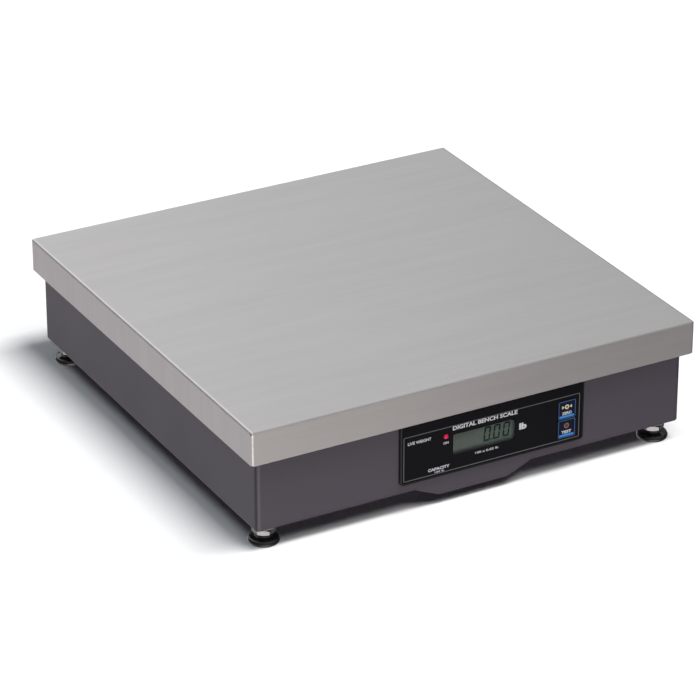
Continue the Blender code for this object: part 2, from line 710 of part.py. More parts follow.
def key(label):
    """A key that slides into the bezel: a cap with a flange behind the wall and a stem to its plunger."""
    z = KEY_Z[label]
    face = WALL_FRONT - GAP - PANEL_THICK - KEY_PROUD
    seat = WALL_FRONT
    axis = axis_empty(f"{label}_key_axis", (KEY_X, face, z))
    half = KEY_SIDE / 2
    overlap = 0.0002
    cap = box(
        f"{label}_key", (KEY_X - half, face, z - half), (KEY_X + half, seat + overlap, z + half),
        KEY_PRINT, 0.0004, axis,
    )
    join_box(cap, f"{label}_key_flange", (KEY_X - KEY_FLANGE / 2, seat, z - half + overlap),
             (KEY_X + KEY_FLANGE / 2, seat + 0.001, z + half - overlap))
    stem = 0.0025
    join_box(cap, f"{label}_key_stem", (KEY_X - stem, seat, z - stem), (KEY_X + stem, STEM_END, z + stem))
    plunger_front = STEM_END + GAP
    plunger = [(0, 0), (0.0014, 0), (0.00175, -0.0004), (0.00175, -0.0024), (0, -0.0024)]
    turned(f"{label}_plunger", plunger, BLACK_PLASTIC, (KEY_X, plunger_front, z), FACING_FRONT,
           axis, steps=12)
    half, front, rear = 0.003, BOARD_FRONT - GAP - 0.0035, BOARD_FRONT - GAP
    switch = box(
        f"{label}_switch", (KEY_X - half, front, z - half), (KEY_X + half, rear, z + half), BLACK_PLASTIC
    )
    bore_radius, bore_depth = 0.00205, 0.0028
    cut_hole(switch, f"{label}_switch_bore", (KEY_X, front, z), bore_radius, 2 * bore_depth, FACING_FRONT)


# ---- power and cables ----

def power_jack():
    """A round panel socket with a centre pin, held by a nut behind the rear wall."""
    rear_face = -WALL_FRONT + GAP
    flange, barrel, depth = 0.0015, 0.018, 0.011
    profile = [
        (0, flange - 0.001), (PIN_RADIUS, flange - 0.0015), (PIN_RADIUS, flange - depth),
        (SOCKET_RADIUS, flange - depth), (SOCKET_RADIUS, flange), (JACK_FLANGE_RADIUS - 0.0004, flange),
        (JACK_FLANGE_RADIUS, flange - 0.0004), (JACK_FLANGE_RADIUS, 0), (JACK_BARREL_RADIUS, 0),
        (JACK_BARREL_RADIUS, -barrel), (0, -barrel),
    ]
    turned("power_jack", profile, BLACK_PLASTIC, (JACK_X, rear_face, JACK_Z), FACING_REAR)
    thickness = 0.003
    nut = hex_mesh("power_jack_nut", 0.016, 0, thickness, 0.0004)
    seat_y = -WALL_FRONT - SHEET - GAP - thickness
    nut = add("power_jack_nut", nut, ZINC, (JACK_X, seat_y, JACK_Z), FACING_REAR)
    cut_hole(nut, "jack_nut_bore", (JACK_X, seat_y + thickness / 2, JACK_Z), JACK_BARREL_RADIUS + GAP,
             0.012, FACING_REAR)


def cables():
    board_rear = BOARD_FRONT + BOARD_THICK + GAP
    cable("load_cell_cable", [
        (-0.066, -CELL_WIDTH / 2 - GAP, 0.0734), (-0.066, -0.034, 0.0734), (-0.062, -0.060, 0.066),
        (-0.052, -0.096, 0.044), (-0.040, -0.135, 0.034), (-0.030, -0.168, 0.038),
        (-0.026, -0.188, 0.050), (-0.025, -0.200, 0.055), (-0.025, board_rear, 0.056),
    ], 0.0025, 3)
    cable("power_lead", [
        (JACK_X, -WALL_FRONT - 0.018, JACK_Z), (0.140, 0.190, JACK_Z), (0.138, 0.175, 0.040),
        (0.143, 0.148, 0.031), (0.162, 0.115, 0.0268), (0.181, 0.070, 0.0260), (0.187, 0.0, 0.0258),
        (0.183, -0.070, 0.0260), (0.168, -0.120, 0.0275), (0.140, -0.152, 0.032), (0.103, -0.174, 0.040),
        (0.066, -0.188, 0.050), (0.047, -0.198, 0.057), (0.043, -0.204, 0.058), (0.043, board_rear, 0.058),
    ], 0.0020, 4)


def smooth_round_pieces():
    for obj in PARTS.objects:
        if obj.type == "MESH":
            obj.data.shade_smooth()
            obj.data.set_sharp_from_angle(angle=math.radians(35))


base_pan()
cross_member()
load_cell()
spacer("lower_spacer", -1, HAT_TOP + GAP, CELL_BOTTOM - GAP)
lower_bolts()
feet_and_stops()
platform()
platter()
bezel()
overlay()
window_and_lcd()
power_light()
board()
key("zero")
key("test")
power_jack()
cables()
smooth_round_pieces()
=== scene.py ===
"""The bench scale's visible pieces and finishes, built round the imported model, in a plain studio.

Metres, +Z up, in the model's frame: the display faces -Y. Places are worked out from the model's nodes.
"""

import json
import math

import bmesh
import bpy
from mathutils import Matrix, Vector

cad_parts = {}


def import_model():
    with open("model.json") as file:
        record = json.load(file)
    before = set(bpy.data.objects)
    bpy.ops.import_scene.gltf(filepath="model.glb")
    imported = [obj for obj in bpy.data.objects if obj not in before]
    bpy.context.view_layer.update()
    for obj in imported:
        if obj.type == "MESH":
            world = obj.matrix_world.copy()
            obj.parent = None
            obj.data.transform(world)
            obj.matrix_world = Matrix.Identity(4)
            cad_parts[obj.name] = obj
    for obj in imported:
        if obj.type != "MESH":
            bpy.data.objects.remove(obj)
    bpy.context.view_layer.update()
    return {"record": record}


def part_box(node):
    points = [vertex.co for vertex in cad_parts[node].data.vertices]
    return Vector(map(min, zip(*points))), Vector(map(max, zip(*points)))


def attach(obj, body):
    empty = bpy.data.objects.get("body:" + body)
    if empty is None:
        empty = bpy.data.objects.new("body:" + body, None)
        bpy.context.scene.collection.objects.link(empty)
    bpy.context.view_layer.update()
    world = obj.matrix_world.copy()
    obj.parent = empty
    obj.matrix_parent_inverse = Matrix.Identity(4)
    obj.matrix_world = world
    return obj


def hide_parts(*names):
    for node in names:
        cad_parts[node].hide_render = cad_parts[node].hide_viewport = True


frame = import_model()


def extent(node):
    """The low corner, the high corner and the middle of a node's box."""
    low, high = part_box(node)
    return low, high, (low + high) / 2


def middle(node):
    return extent(node)[2]


BODY = {
    node: body for body, members in frame["record"]["behaviour"]["bodies"].items() for node in members
}
CORNERS = {"fl": (-1, -1), "fr": (1, -1), "bl": (-1, 1), "br": (1, 1)}
GAP = 0.0003
SHARP_EDGE = math.radians(32)
CUT, ADD, KEEP = "DIFFERENCE", "UNION", "INTERSECT"
FORWARD, BACKWARD = (0, -1, 0), (0, 1, 0)

# Sheet metal
PLATTER_LOW, PLATTER_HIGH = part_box("platter")
PLATTER_SIDE = 2 * PLATTER_HIGH.x
PLATTER_SHEET = 0.0015
PLATTER_FOLD = 0.0021
PLATTER_CORNER = 0.0018
PAN_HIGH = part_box("base_pan")[1]
PAN_SIDE = 2 * PAN_HIGH.x
PAN_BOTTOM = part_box("foot_nut_fl")[1].z + GAP
PAN_SHEET = 0.0015
PAN_FOLD = 0.0022
PAN_CORNER = 0.004
PAN_LIP = 0.012
FOLD_LEAD = 0.0007
TAB_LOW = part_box("base_pan")[0].z
TAB_ROOT, TAB_TIP = 0.059, 0.0355
WALL_FRONT = -PAN_HIGH.x
CUSHION_AT = middle("cushion_fr").x

# Bolts, nuts and studs
BOLT_HOLE = 0.0043
STUD_RADIUS = 0.00495
STUD_BORE = 0.00525
FOOT_HEX = 0.019

# Display
PANEL_LOW, PANEL_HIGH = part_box("bezel")
PANEL_X, PANEL_Z = (PANEL_LOW.x, PANEL_HIGH.x), (PANEL_LOW.z, PANEL_HIGH.z)
FACE_LOW, FACE_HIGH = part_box("overlay")
FACE_Y = FACE_LOW.y
FLANGE_REAR = WALL_FRONT - GAP
WINDOW_X, WINDOW_Z = (-0.0232, 0.0415), (0.048, 0.0685)
LINE_X, LINE_Z = (-0.0745, 0.11), (0.033, 0.078)
LED = middle("power_light")
LED_HOLE = 0.0028
KEY_HALF, KEY_CORNER = 0.0091, 0.0012
INK = 0.00004
HAIRLINE = 0.00001


# ---- shapes ----

def arc(centre, radius, start, end, steps):
    """Points on an arc, from one angle to another in degrees."""
    angles = [math.radians(start + (end - start) * i / steps) for i in range(steps + 1)]
    return [(centre[0] + radius * math.cos(a), centre[1] + radius * math.sin(a)) for a in angles]


def rounded(corners, steps=6):
    """An outline through (a, b) or (a, b, radius) corners, with an arc at each one that has a radius."""
    outline = []
    for i, corner in enumerate(corners):
        here = Vector(corner[:2])
        radius = corner[2] if len(corner) > 2 else 0
        if not radius:
            outline.append(tuple(here))
            continue
        back = (Vector(corners[i - 1][:2]) - here).normalized()
        ahead = (Vector(corners[(i + 1) % len(corners)][:2]) - here).normalized()
        half = back.angle(ahead) / 2
        centre = here + (back + ahead).normalized() * radius / math.sin(half)
        start = here + back * radius / math.tan(half) - centre
        end = here + ahead * radius / math.tan(half) - centre
        turn = math.atan2(start.x * end.y - start.y * end.x, start.dot(end))
        first = math.degrees(math.atan2(start.y, start.x))
        outline += arc(centre, radius, first, first + math.degrees(turn), steps)
    return outline


def loft(rings, around=False):
    """A solid through rings of points that match one to one, with end faces or back to its first ring."""
    bm = bmesh.new()
    rows = [[bm.verts.new(point) for point in ring] for ring in rings]
    count = len(rows[0])
    for row, following in zip(rows, [*rows[1:], rows[0]] if around else rows[1:]):
        for i in range(count):
            j = (i + 1) % count
            bm.faces.new((row[i], row[j], following[j], following[i]))
    if not around:
        bm.faces.new(rows[0])
        bm.faces.new(rows[-1])
    bmesh.ops.recalc_face_normals(bm, faces=bm.faces[:])
    return bm


def slab(outline, levels, place=Matrix()):
    """A plate whose outline function gives the points at each (inset, level), for eased edges."""
    return loft([[place @ Vector((a, b, level)) for a, b in outline(inset)] for inset, level in levels])


def prism(outline, low, high, place=Matrix()):
    """An outline in X and Y, extruded along Z and then placed."""
    return slab(lambda inset: outline, [(0, low), (0, high)], place)


def box(low, high, ease=0.0, segments=3):
    bm = bmesh.new()
    bmesh.ops.create_cube(bm, size=1.0)
    low, high = Vector(low), Vector(high)
    bmesh.ops.scale(bm, vec=high - low, verts=bm.verts)
    bmesh.ops.translate(bm, vec=(low + high) / 2, verts=bm.verts)
    if ease:
        bmesh.ops.bevel(bm, geom=bm.edges[:], offset=ease, segments=segments, profile=0.5, affect="EDGES")
    return bm


def block(x, z, wide, tall, near, far, ease=0.0):
    """A box round a point of the front, from near to far along Y."""
    return box((x - wide / 2, near, z - tall / 2), (x + wide / 2, far, z + tall / 2), ease)


def lathe(profile, place=Matrix(), steps=64):
    """A solid turned round Z from (radius, height) points, which start and end on the axis or meet."""
    bm = bmesh.new()
    chain = [bm.verts.new((radius, 0.0, height)) for radius, height in profile]
    edges = [bm.edges.new(pair) for pair in zip(chain, chain[1:])]
    if profile[0][0] > 0:
        edges.append(bm.edges.new((chain[-1], chain[0])))
    bmesh.ops.spin(
        bm, geom=chain + edges, cent=(0, 0, 0), axis=(0, 0, 1), angle=2 * math.pi, steps=steps,
        use_merge=True, use_duplicate=False,
    )
    bmesh.ops.remove_doubles(bm, verts=bm.verts[:], dist=1e-6)
    bmesh.ops.recalc_face_normals(bm, faces=bm.faces[:])
    bm.transform(place)
    return bm


def turned(corners, place=Matrix(), steps=64, arc_steps=6):
    """A turned solid from (radius, height) or (radius, height, fillet) corners."""
    return lathe(rounded(corners, arc_steps), place, steps)


def rod(radius, low, high, place=Matrix(), steps=48):
    return lathe([(0, low), (radius, low), (radius, high), (0, high)], place, steps)


def as_mesh(shape, name="shape"):
    mesh = bpy.data.meshes.new(name)
    shape.to_mesh(mesh)
    shape.free()
    return mesh


def in_scene(name, data):
    obj = bpy.data.objects.new(name, data)
    bpy.context.scene.collection.objects.link(obj)
    return obj


def as_evaluated(obj):
    """The shape of an object once its modifiers or its text are worked out."""
    bpy.context.view_layer.update()
    mesh = bpy.data.meshes.new_from_object(obj.evaluated_get(bpy.context.evaluated_depsgraph_get()))
    bm = bmesh.new()
    bm.from_mesh(mesh)
    bpy.data.meshes.remove(mesh)
    return bm


def joined(*shapes):
    """Several shapes as one mesh, which may be apart or pass through each other."""
    bm = bmesh.new()
    for shape in shapes:
        mesh = as_mesh(shape)
        bm.from_mesh(mesh)
        bpy.data.meshes.remove(mesh)
    return bm


def carved(shape, *steps):
    """The shape after Boolean steps, each (CUT, ADD or KEEP, other shape)."""
    base = in_scene("shape", as_mesh(shape))
    tools = []
    for operation, other in steps:
        tools.append(in_scene("shape", as_mesh(other)))
        modifier = base.modifiers.new("carve", "BOOLEAN")
        modifier.operation, modifier.object, modifier.solver = operation, tools[-1], "EXACT"
        modifier.use_self = operation == ADD
    bm = as_evaluated(base)
    for obj in (base, *tools):
        spent = obj.data
        bpy.data.objects.remove(obj)
        bpy.data.meshes.remove(spent)
    bmesh.ops.remove_doubles(bm, verts=bm.verts[:], dist=2e-6)
    bmesh.ops.dissolve_degenerate(bm, dist=1e-6, edges=bm.edges[:])
    return bm


def finished(name, parts):
    """One mesh from [(shape, material)], smooth between its sharp edges."""
    for index, (shape, _) in enumerate(parts):
        for face in shape.faces:
            face.material_index = index
    mesh = as_mesh(joined(*[shape for shape, _ in parts]), name)
    for _, material in parts:
        mesh.materials.append(material)
    mesh.shade_smooth()
    mesh.set_sharp_from_angle(angle=SHARP_EDGE)
    return mesh


def place_mesh(name, mesh, node, at=(0, 0, 0), stands_for=True):
    """Puts a piece in the scene, on the body that moves the node, and hides the node when the piece stands
    for it.
    """
    obj = in_scene(name, mesh)
    obj.location = at
    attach(obj, BODY[node])
    if stands_for:
        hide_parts(node)


def piece(name, parts, node, at=(0, 0, 0), stands_for=True):
    place_mesh(name, finished(name, parts), node, at, stands_for)


def shift(x=0.0, y=0.0, z=0.0):
    return Matrix.Translation((x, y, z))


def spun(degrees, axis="Z"):
    return Matrix.Rotation(math.radians(degrees), 4, axis)


def facing(direction, x, y, z):
    """A place at a point, whose local +Z points along the direction."""
    return shift(x, y, z) @ Vector(direction).to_track_quat("Z", "Y").to_matrix().to_4x4()


def on_front(y):
    """A place whose local X, Y, Z are the world's X, Z, -Y: for outlines drawn on the front."""
    return Matrix(((1, 0, 0, 0), (0, 0, -1, y), (0, 1, 0, 0), (0, 0, 0, 1)))


# A place whose local X, Y, Z are the world's Y, Z, X: for sections extruded along X.
ALONG_X = Matrix(((0, 0, 1, 0), (1, 0, 0, 0), (0, 1, 0, 0), (0, 0, 0, 1)))


def wider(span, by):
    return span[0] - by, span[1] + by


def rectangle(x, z, radius):
    """A rounded rectangle as a function of how far it is drawn in."""
    def outline(inset=0.0):
        (a, b), (c, d) = wider(x, -inset), wider(z, -inset)
        r = max(radius - inset, 0.0001)
        return rounded([(a, c, r), (b, c, r), (b, d, r), (a, d, r)])

    return outline


def plate(x, z, radius, low, high, y):
    """A rounded plate on the front, from low to high in front of the plane at y."""
    return prism(rectangle(x, z, radius)(), low, high, on_front(y))


def bolt_bores(end, level, below, above, radius=BOLT_HOLE, steps=32):
    """Upright rods through the two bolts at the load cell's lower or upper end."""
    bolts = [middle(f"cell_bolt_{end}_{label}") for label in ("front", "rear")]
    return joined(*[rod(radius, -below, above, shift(bolt.x, bolt.y, level), steps) for bolt in bolts])


# ---- finishes ----

def add_node(tree, kind, inputs, **settings):
    made = tree.nodes.new("ShaderNode" + kind)
    for key, value in settings.items():
        setattr(made, key, value)
    for key, value in inputs.items():
        if isinstance(value, bpy.types.NodeSocket):
            tree.links.new(value, made.inputs[key])
        else:
            made.inputs[key].default_value = value
    return made


class Finish:
    """A procedural material round one Principled shader."""

    def __init__(self, name, colour, roughness, metallic=0.0, **sockets):
        self.material = bpy.data.materials.new(name)
        self.material.use_nodes = True
        self.tree = self.material.node_tree
        self.shader = self.tree.nodes["Principled BSDF"]
        self.colour = colour
        self.set("Base Color", (*colour, 1.0))
        self.set("Roughness", roughness)
        self.set("Metallic", metallic)
        for socket, value in sockets.items():
            self.set(socket.replace("_", " "), value)
        self.space = self.node("TexCoord").outputs["Object"]

    def set(self, socket, value):
        self.shader.inputs[socket].default_value = value

    def use(self, socket, value):
        self.tree.links.new(value, self.shader.inputs[socket])

    def node(self, kind, inputs=None, **settings):
        return add_node(self.tree, kind, inputs or {}, **settings)

    def noise(self, cells, detail=2.0, space=None, roughness=0.5):
        """Noise from 0 to 1, with this many cells for each metre, all ways or along X, Y and Z."""
        cells = cells if isinstance(cells, tuple) else (cells,) * 3
        scaled = self.node("Mapping", {"Vector": space or self.space, "Scale": cells})
        inputs = {"Vector": scaled.outputs[0], "Scale": 1.0, "Detail": detail, "Roughness": roughness}
        return self.node("TexNoise", inputs).outputs["Fac"]

    def spread(self, value, low, high, inner=(0.3, 0.7)):
        inputs = {"Value": value, "From Min": inner[0], "From Max": inner[1], "To Min": low, "To Max": high}
        return self.node("MapRange", inputs).outputs[0]

    def math(self, operation, a, b=0.0):
        return self.node("Math", {0: a, 1: b}, operation=operation).outputs[0]

    def mix(self, factor, first, second, **settings):
        """One colour into the other."""
        first, second = [(*c, 1.0) if isinstance(c, tuple) else c for c in (first, second)]
        return self.node("Mix", {0: factor, 6: first, 7: second}, data_type="RGBA", **settings).outputs[2]

    def shade(self, amount):
        """The finish's own colour, made darker or lighter."""
        return tuple(min(1.0, channel * amount) for channel in self.colour)

    def mottled(self, value, dark, light):
        self.use("Base Color", self.mix(value, self.shade(dark), self.shade(light)))

    def worn(self, value, low, high):
        self.use("Roughness", self.spread(value, low, high))

    def relief(self, height, depth, strength=1.0, before=None):
        inputs = {"Height": height, "Distance": depth, "Strength": strength}
        if before:
            inputs["Normal"] = before
        made = self.node("Bump", inputs).outputs[0]
        self.use("Normal", made)
        return made


def moulded(name, colour, roughness, grain=2600.0, relief=0.00004, **sockets):
    """Plastic, rubber or paint: a fine surface texture over slow changes of tone and gloss."""
    finish = Finish(name, colour, roughness, **sockets)
    slow = finish.noise(14, 3.0)
    finish.mottled(slow, 0.88, 1.12)
    finish.worn(slow, roughness - 0.04, roughness + 0.04)
    finish.relief(finish.noise(grain, 1.0), relief)
    return finish.material


def brushed_steel():
    """Stainless sheet with its grain along X, which turns upright on the left and right skirts."""
    finish = Finish("brushed_stainless", (0.6, 0.59, 0.585), 0.46, 1.0, Anisotropic=0.8)
    axes = finish.node("SeparateXYZ", {0: finish.space})
    surface = finish.node("SeparateXYZ", {0: finish.node("NewGeometry").outputs["Normal"]})
    on_side = finish.math("GREATER_THAN", finish.math("ABSOLUTE", surface.outputs["X"]), 0.75)
    along = finish.node("Mix", {0: on_side, 2: axes.outputs["X"], 3: axes.outputs["Z"]}).outputs[0]
    level = finish.node("Mix", {0: on_side, 2: axes.outputs["Z"], 3: axes.outputs["X"]}).outputs[0]
    grain = finish.node("CombineXYZ", {0: along, 1: axes.outputs["Y"], 2: level}).outputs[0]
    hairs = finish.noise((22, 2600, 2600), 2.0, grain, 0.6)
    lines = finish.noise((14, 640, 640), 3.0, grain, 0.65)
    bands = finish.noise((5, 70, 70), 2.0, grain)
    clouds = finish.noise(7)
    tone = finish.math("ADD", finish.math("MULTIPLY", lines, 0.65), finish.math("MULTIPLY", bands, 0.35))
    finish.mottled(tone, 0.87, 1.13)
    worn = finish.math("ADD", finish.spread(lines, 0.43, 0.49), finish.spread(clouds, -0.02, 0.02))
    finish.use("Roughness", worn)
    finish.relief(lines, 0.000004, 0.5, finish.relief(hairs, 0.000002, 0.6))
    across = finish.node("Mix", {0: on_side, 4: (0, 1, 1), 5: (0, 1, 0)}, data_type="VECTOR").outputs[1]
    finish.use("Tangent", across)
    return finish.material


def powder_coat():
    """Dark plum-grey powder coat: fine orange peel and a sparse lighter fleck."""
    finish = Finish("powder_coat", (0.048, 0.038, 0.056), 0.4, Specular_IOR_Level=0.45)
    slow = finish.noise(9, 3.0)
    fleck = finish.noise(2400, 1.0)
    tone = finish.mix(slow, finish.shade(0.94), finish.shade(1.06))
    bright = finish.spread(fleck, 0.0, 0.4, (0.62, 0.8))
    finish.use("Base Color", finish.mix(bright, tone, finish.shade(1.8)))
    finish.worn(slow, 0.36, 0.44)
    finish.relief(fleck, 0.00002, 0.5, finish.relief(finish.noise(700), 0.00004, 0.5))
    return finish.material


def plated(name, colour, roughness, cells=(60, 60, 900), tint=0.1):
    """Bare or plated metal with faint machining marks."""
    finish = Finish(name, colour, roughness, 1.0)
    marks = finish.noise(cells)
    finish.mottled(finish.noise(120), 1 - tint, 1 + tint)
    finish.worn(marks, roughness - 0.06, roughness + 0.08)
    finish.relief(marks, 0.00001)
    return finish.material


def printed(name, colour, roughness=0.45, specular=0.4):
    """Screen-printed ink, a little uneven."""
    finish = Finish(name, colour, roughness, Specular_IOR_Level=specular)
    finish.mottled(finish.noise(900, 1.0), 0.88, 1.08)
    return finish.material


def lcd_glass():
    """Reflective LCD: grey-green, greener towards the right, with slow darker clouds."""
    finish = Finish("lcd_glass", (0.112, 0.13, 0.106), 0.4, Specular_IOR_Level=0.08)
    axes = finish.node("SeparateXYZ", {0: finish.space})
    across = finish.spread(axes.outputs["X"], 0.0, 1.0, WINDOW_X)
    tone = finish.mix(across, finish.shade(0.95), (0.1, 0.132, 0.117))
    clouds = finish.spread(finish.noise(60), 0.0, 0.25)
    finish.use("Base Color", finish.mix(clouds, tone, (0.88, 0.9, 0.88), blend_type="MULTIPLY"))
    return finish.material


def circuit_board():
    """Green solder mask over copper tracks."""
    finish = Finish("solder_mask", (0.01, 0.085, 0.035), 0.32)
    upright = finish.node("Mapping", {"Vector": finish.space, "Rotation": (math.pi / 2, 0, 0)})
    tracks = finish.node("TexBrick", {
        "Vector": upright.outputs[0], "Scale": 160.0, "Mortar Size": 0.09,
        "Color1": (0, 0, 0, 1), "Color2": (0, 0, 0, 1), "Mortar": (1, 1, 1, 1),
    }).outputs["Fac"]
    finish.use("Base Color", finish.mix(tracks, finish.colour, (0.03, 0.17, 0.06)))
    finish.relief(tracks, 0.00004)
    return finish.material


def clear_acrylic():
    finish = Finish("clear_acrylic", (0.1, 0.11, 0.105), 0.05, Alpha=0.05, Specular_IOR_Level=0.1)
    finish.worn(finish.noise(240), 0.04, 0.09)
    return finish.material


def red_diffuser():
    finish = Finish("red_diffuser", (0.5, 0.006, 0.06), 0.22, Emission_Strength=0.12, Coat_Weight=0.4)
    finish.set("Emission Color", (0.9, 0.01, 0.08, 1.0))
    finish.mottled(finish.noise(500), 0.85, 1.1)
    return finish.material


STEEL = brushed_steel()
PAINT = powder_coat()
FRAME_PAINT = moulded("satin_black_paint", (0.03, 0.03, 0.033), 0.42, 900.0, 0.00003)
ZINC = plated("bright_zinc", (0.46, 0.47, 0.49), 0.24)
# A darker copy of the zinc for the levelling studs and jam nuts: its higher roughness is a duller plating,
# and its darker colour is painted shade for these parts under the pan.
DULL_SHADED_ZINC = plated("dull_zinc_painted_shade", (0.25, 0.255, 0.265), 0.42)
ALUMINIUM = plated("milled_aluminium", (0.66, 0.67, 0.68), 0.34, (25, 1600, 1600), 0.06)
BLACK_PLASTIC = moulded("black_plastic", (0.006, 0.006, 0.0066), 0.36, Specular_IOR_Level=0.2)
FACE = moulded("velvet_face", (0.004, 0.0038, 0.0058), 0.38, 3400.0, 0.00002, Specular_IOR_Level=0.06)
RUBBER = moulded("glossy_rubber", (0.01, 0.01, 0.011), 0.16, 1200.0, 0.00002, Coat_Weight=0.3)
CUSHION = moulded("matt_rubber", (0.018, 0.018, 0.019), 0.72, 1800.0, 0.00006)
CABLE = moulded("cable_sheath", (0.02, 0.02, 0.022), 0.46, 1500.0, 0.00003)
NAVY = moulded("navy_key", (0.003, 0.0056, 0.022), 0.34, 3400.0, 0.00002, Specular_IOR_Level=0.1)
WHITE_INK = printed("white_ink", (0.62, 0.62, 0.64))
LINE_INK = printed("grey_line_ink", (0.085, 0.088, 0.092))
RIM_INK = printed("key_rim_ink", (0.02, 0.075, 0.19))
BLUE_INK = printed("blue_bar_ink", (0.015, 0.22, 0.66))
CREAM_INK = printed("cream_ink", (0.66, 0.58, 0.36))
BROWN_INK = printed("copper_ink", (0.2, 0.095, 0.055))
SEGMENT = printed("lcd_segment", (0.0065, 0.014, 0.01), 0.6, 0.0)
LCD = lcd_glass()
BOARD = circuit_board()
LENS = clear_acrylic()
RED = red_diffuser()
CHIP = moulded("chip_epoxy", (0.012, 0.012, 0.013), 0.5, 3000.0)
NYLON = moulded("white_nylon", (0.62, 0.6, 0.55), 0.45)
TIN = plated("tinned_lead", (0.6, 0.6, 0.62), 0.3, (500, 500, 500))


# ---- platter ----

def square_ring(side, corner, level, lift=None):
    """A square with rounded corners, with points close together near the corners."""
    half = side / 2
    centre = half - corner
    near = (0.003, 0.002, 0.001)
    run = [(half, centre - step) for step in near]
    run += arc((centre, centre), corner, 0, 90, 8)
    run += [(centre - step, half) for step in reversed(near)]
    turns = [Matrix.Rotation(quarter * math.pi / 2, 2) for quarter in range(4)]
    ring = [turn @ Vector(point) for turn in turns for point in run]
    return [(p.x, p.y, level + (lift(half - min(abs(p.x), abs(p.y))) if lift else 0)) for p in ring]


def eased_corner(distance):
    """How far the skirt's lower edge rises near a corner, where it is rounded off."""
    radius = 0.0028
    if distance >= radius:
        return 0.0
    return radius - math.sqrt(radius**2 - (radius - distance) ** 2)


def bend(fold, level, radius, start, end, steps):
    """(inset, level) points round a bend, in a sheet whose outer bends have the fold's radius."""
    return [(fold - a, b) for a, b in arc((0, level), radius, start, end, steps)]


def tray_section(fold, low, high):
    """(inset, level) points up one face of a folded tray and over its fold."""
    lead = fold + FOLD_LEAD
    return [(0.0, low), (0.0, high - lead), *bend(fold, high - fold, fold, 0, 90, 8), (lead, high)]


def platter():
    low, high = PLATTER_LOW.z, PLATTER_HIGH.z
    sheet, ease = PLATTER_SHEET, 0.0002
    outer = tray_section(PLATTER_FOLD, low + ease, high)
    inner = tray_section(PLATTER_FOLD - sheet, low + ease, high - sheet)
    inner = [(inset + sheet, level) for inset, level in reversed(inner)]
    rings = []
    for inset, level in [*inner, (sheet - ease, low), (ease, low), *outer]:
        lift = eased_corner if level < low + 0.001 else None
        rings.append(square_ring(PLATTER_SIDE - 2 * inset, max(PLATTER_CORNER - inset, 0.0003), level, lift))
    reach = PLATTER_SIDE / 2
    notches = [
        rod(0.0008, -0.002, 0.002, facing((1, 0, 0), sx * reach, sy * (reach - 0.0016), high - 0.0022), 20)
        for sx, sy in CORNERS.values()
    ]
    piece("platter_tray", [(carved(loft(rings), (CUT, joined(*notches))), STEEL)], "platter")
    for corner, (sx, sy) in CORNERS.items():
        ring = [(0.015, 0.0), (0.015, -0.0039), (0.0153, -0.0042), (0.0167, -0.0042), (0.017, -0.0039),
                (0.017, -0.0006), (0.0176, 0.0)]
        seat = (sx * CUSHION_AT, sy * CUSHION_AT, high - sheet + 0.0001)
        piece(f"platter_ring_{corner}", [(lathe(ring), STEEL)], "platter", seat, stands_for=False)


# ---- base pan ----

def pan_section():
    """(inset, level) points from the pan's inner floor up its wall, round the lip and down the outside."""
    low, high, fold, sheet = PAN_BOTTOM, PAN_HIGH.z, PAN_FOLD, PAN_SHEET
    lead = fold + FOLD_LEAD
    return [
        (lead, low + sheet), *bend(fold, low + fold, fold - sheet, -90, 0, 4),
        *bend(fold, high - fold, fold - sheet, 0, 90, 4), (lead, high - sheet),
        (PAN_LIP - 0.0002, high - sheet), (PAN_LIP, high - sheet / 2), (PAN_LIP - 0.0002, high),
        (lead, high), *bend(fold, high - fold, fold, 90, 0, 8), (0.0, high - lead),
        (0.0, low + lead), *bend(fold, low + fold, fold, 0, -90, 8), (lead, low),
    ]


def base_pan():
    shell = loft([
        square_ring(PAN_SIDE - 2 * inset, max(PAN_CORNER - inset, 0.0006), level)
        for inset, level in pan_section()
    ])
    fold_top = PAN_BOTTOM + PAN_FOLD + GAP
    relief = box((-TAB_ROOT, WALL_FRONT - 0.001, PAN_BOTTOM - 0.001),
                 (TAB_ROOT, WALL_FRONT + PAN_SHEET + 0.0008, fold_top))
    ease = 0.0015
    tab = rounded([
        (-TAB_ROOT, fold_top), (-TAB_ROOT, PAN_BOTTOM), (-TAB_TIP, TAB_LOW, ease), (TAB_TIP, TAB_LOW, ease),
        (TAB_ROOT, PAN_BOTTOM), (TAB_ROOT, fold_top),
    ])
    tab = prism(tab, 0.0, -PAN_SHEET, on_front(WALL_FRONT))
    cuts = [relief, plate(wider(PANEL_X, -0.004), wider(PANEL_Z, -0.004), 0.001, -0.005, 0.005, WALL_FRONT)]
    foot, mitre = middle("foot_pad_fr"), PAN_SIDE / 2 - 0.009
    for sx, sy in CORNERS.values():
        cuts.append(rod(0.0056, -0.004, 0.004, shift(sx * foot.x, sy * abs(foot.y), PAN_BOTTOM)))
        slit = box((-0.007, -0.0003, -0.004), (0.006, 0.0003, 0.004))
        slit.transform(shift(sx * mitre, sy * mitre, PAN_HIGH.z) @ spun(45 * sx * sy))
        cuts.append(slit)
    cuts.append(bolt_bores("lower", PAN_BOTTOM, 0.004, 0.004, 0.0078, 48))
    jack = middle("power_jack")
    cuts.append(rod(0.0059, -0.005, 0.005, facing(BACKWARD, jack.x, -WALL_FRONT, jack.z)))
    piece("base_shell", [(carved(shell, (CUT, joined(*cuts)), (ADD, tab)), PAINT)], "base_pan")


# ---- frames and load cell ----

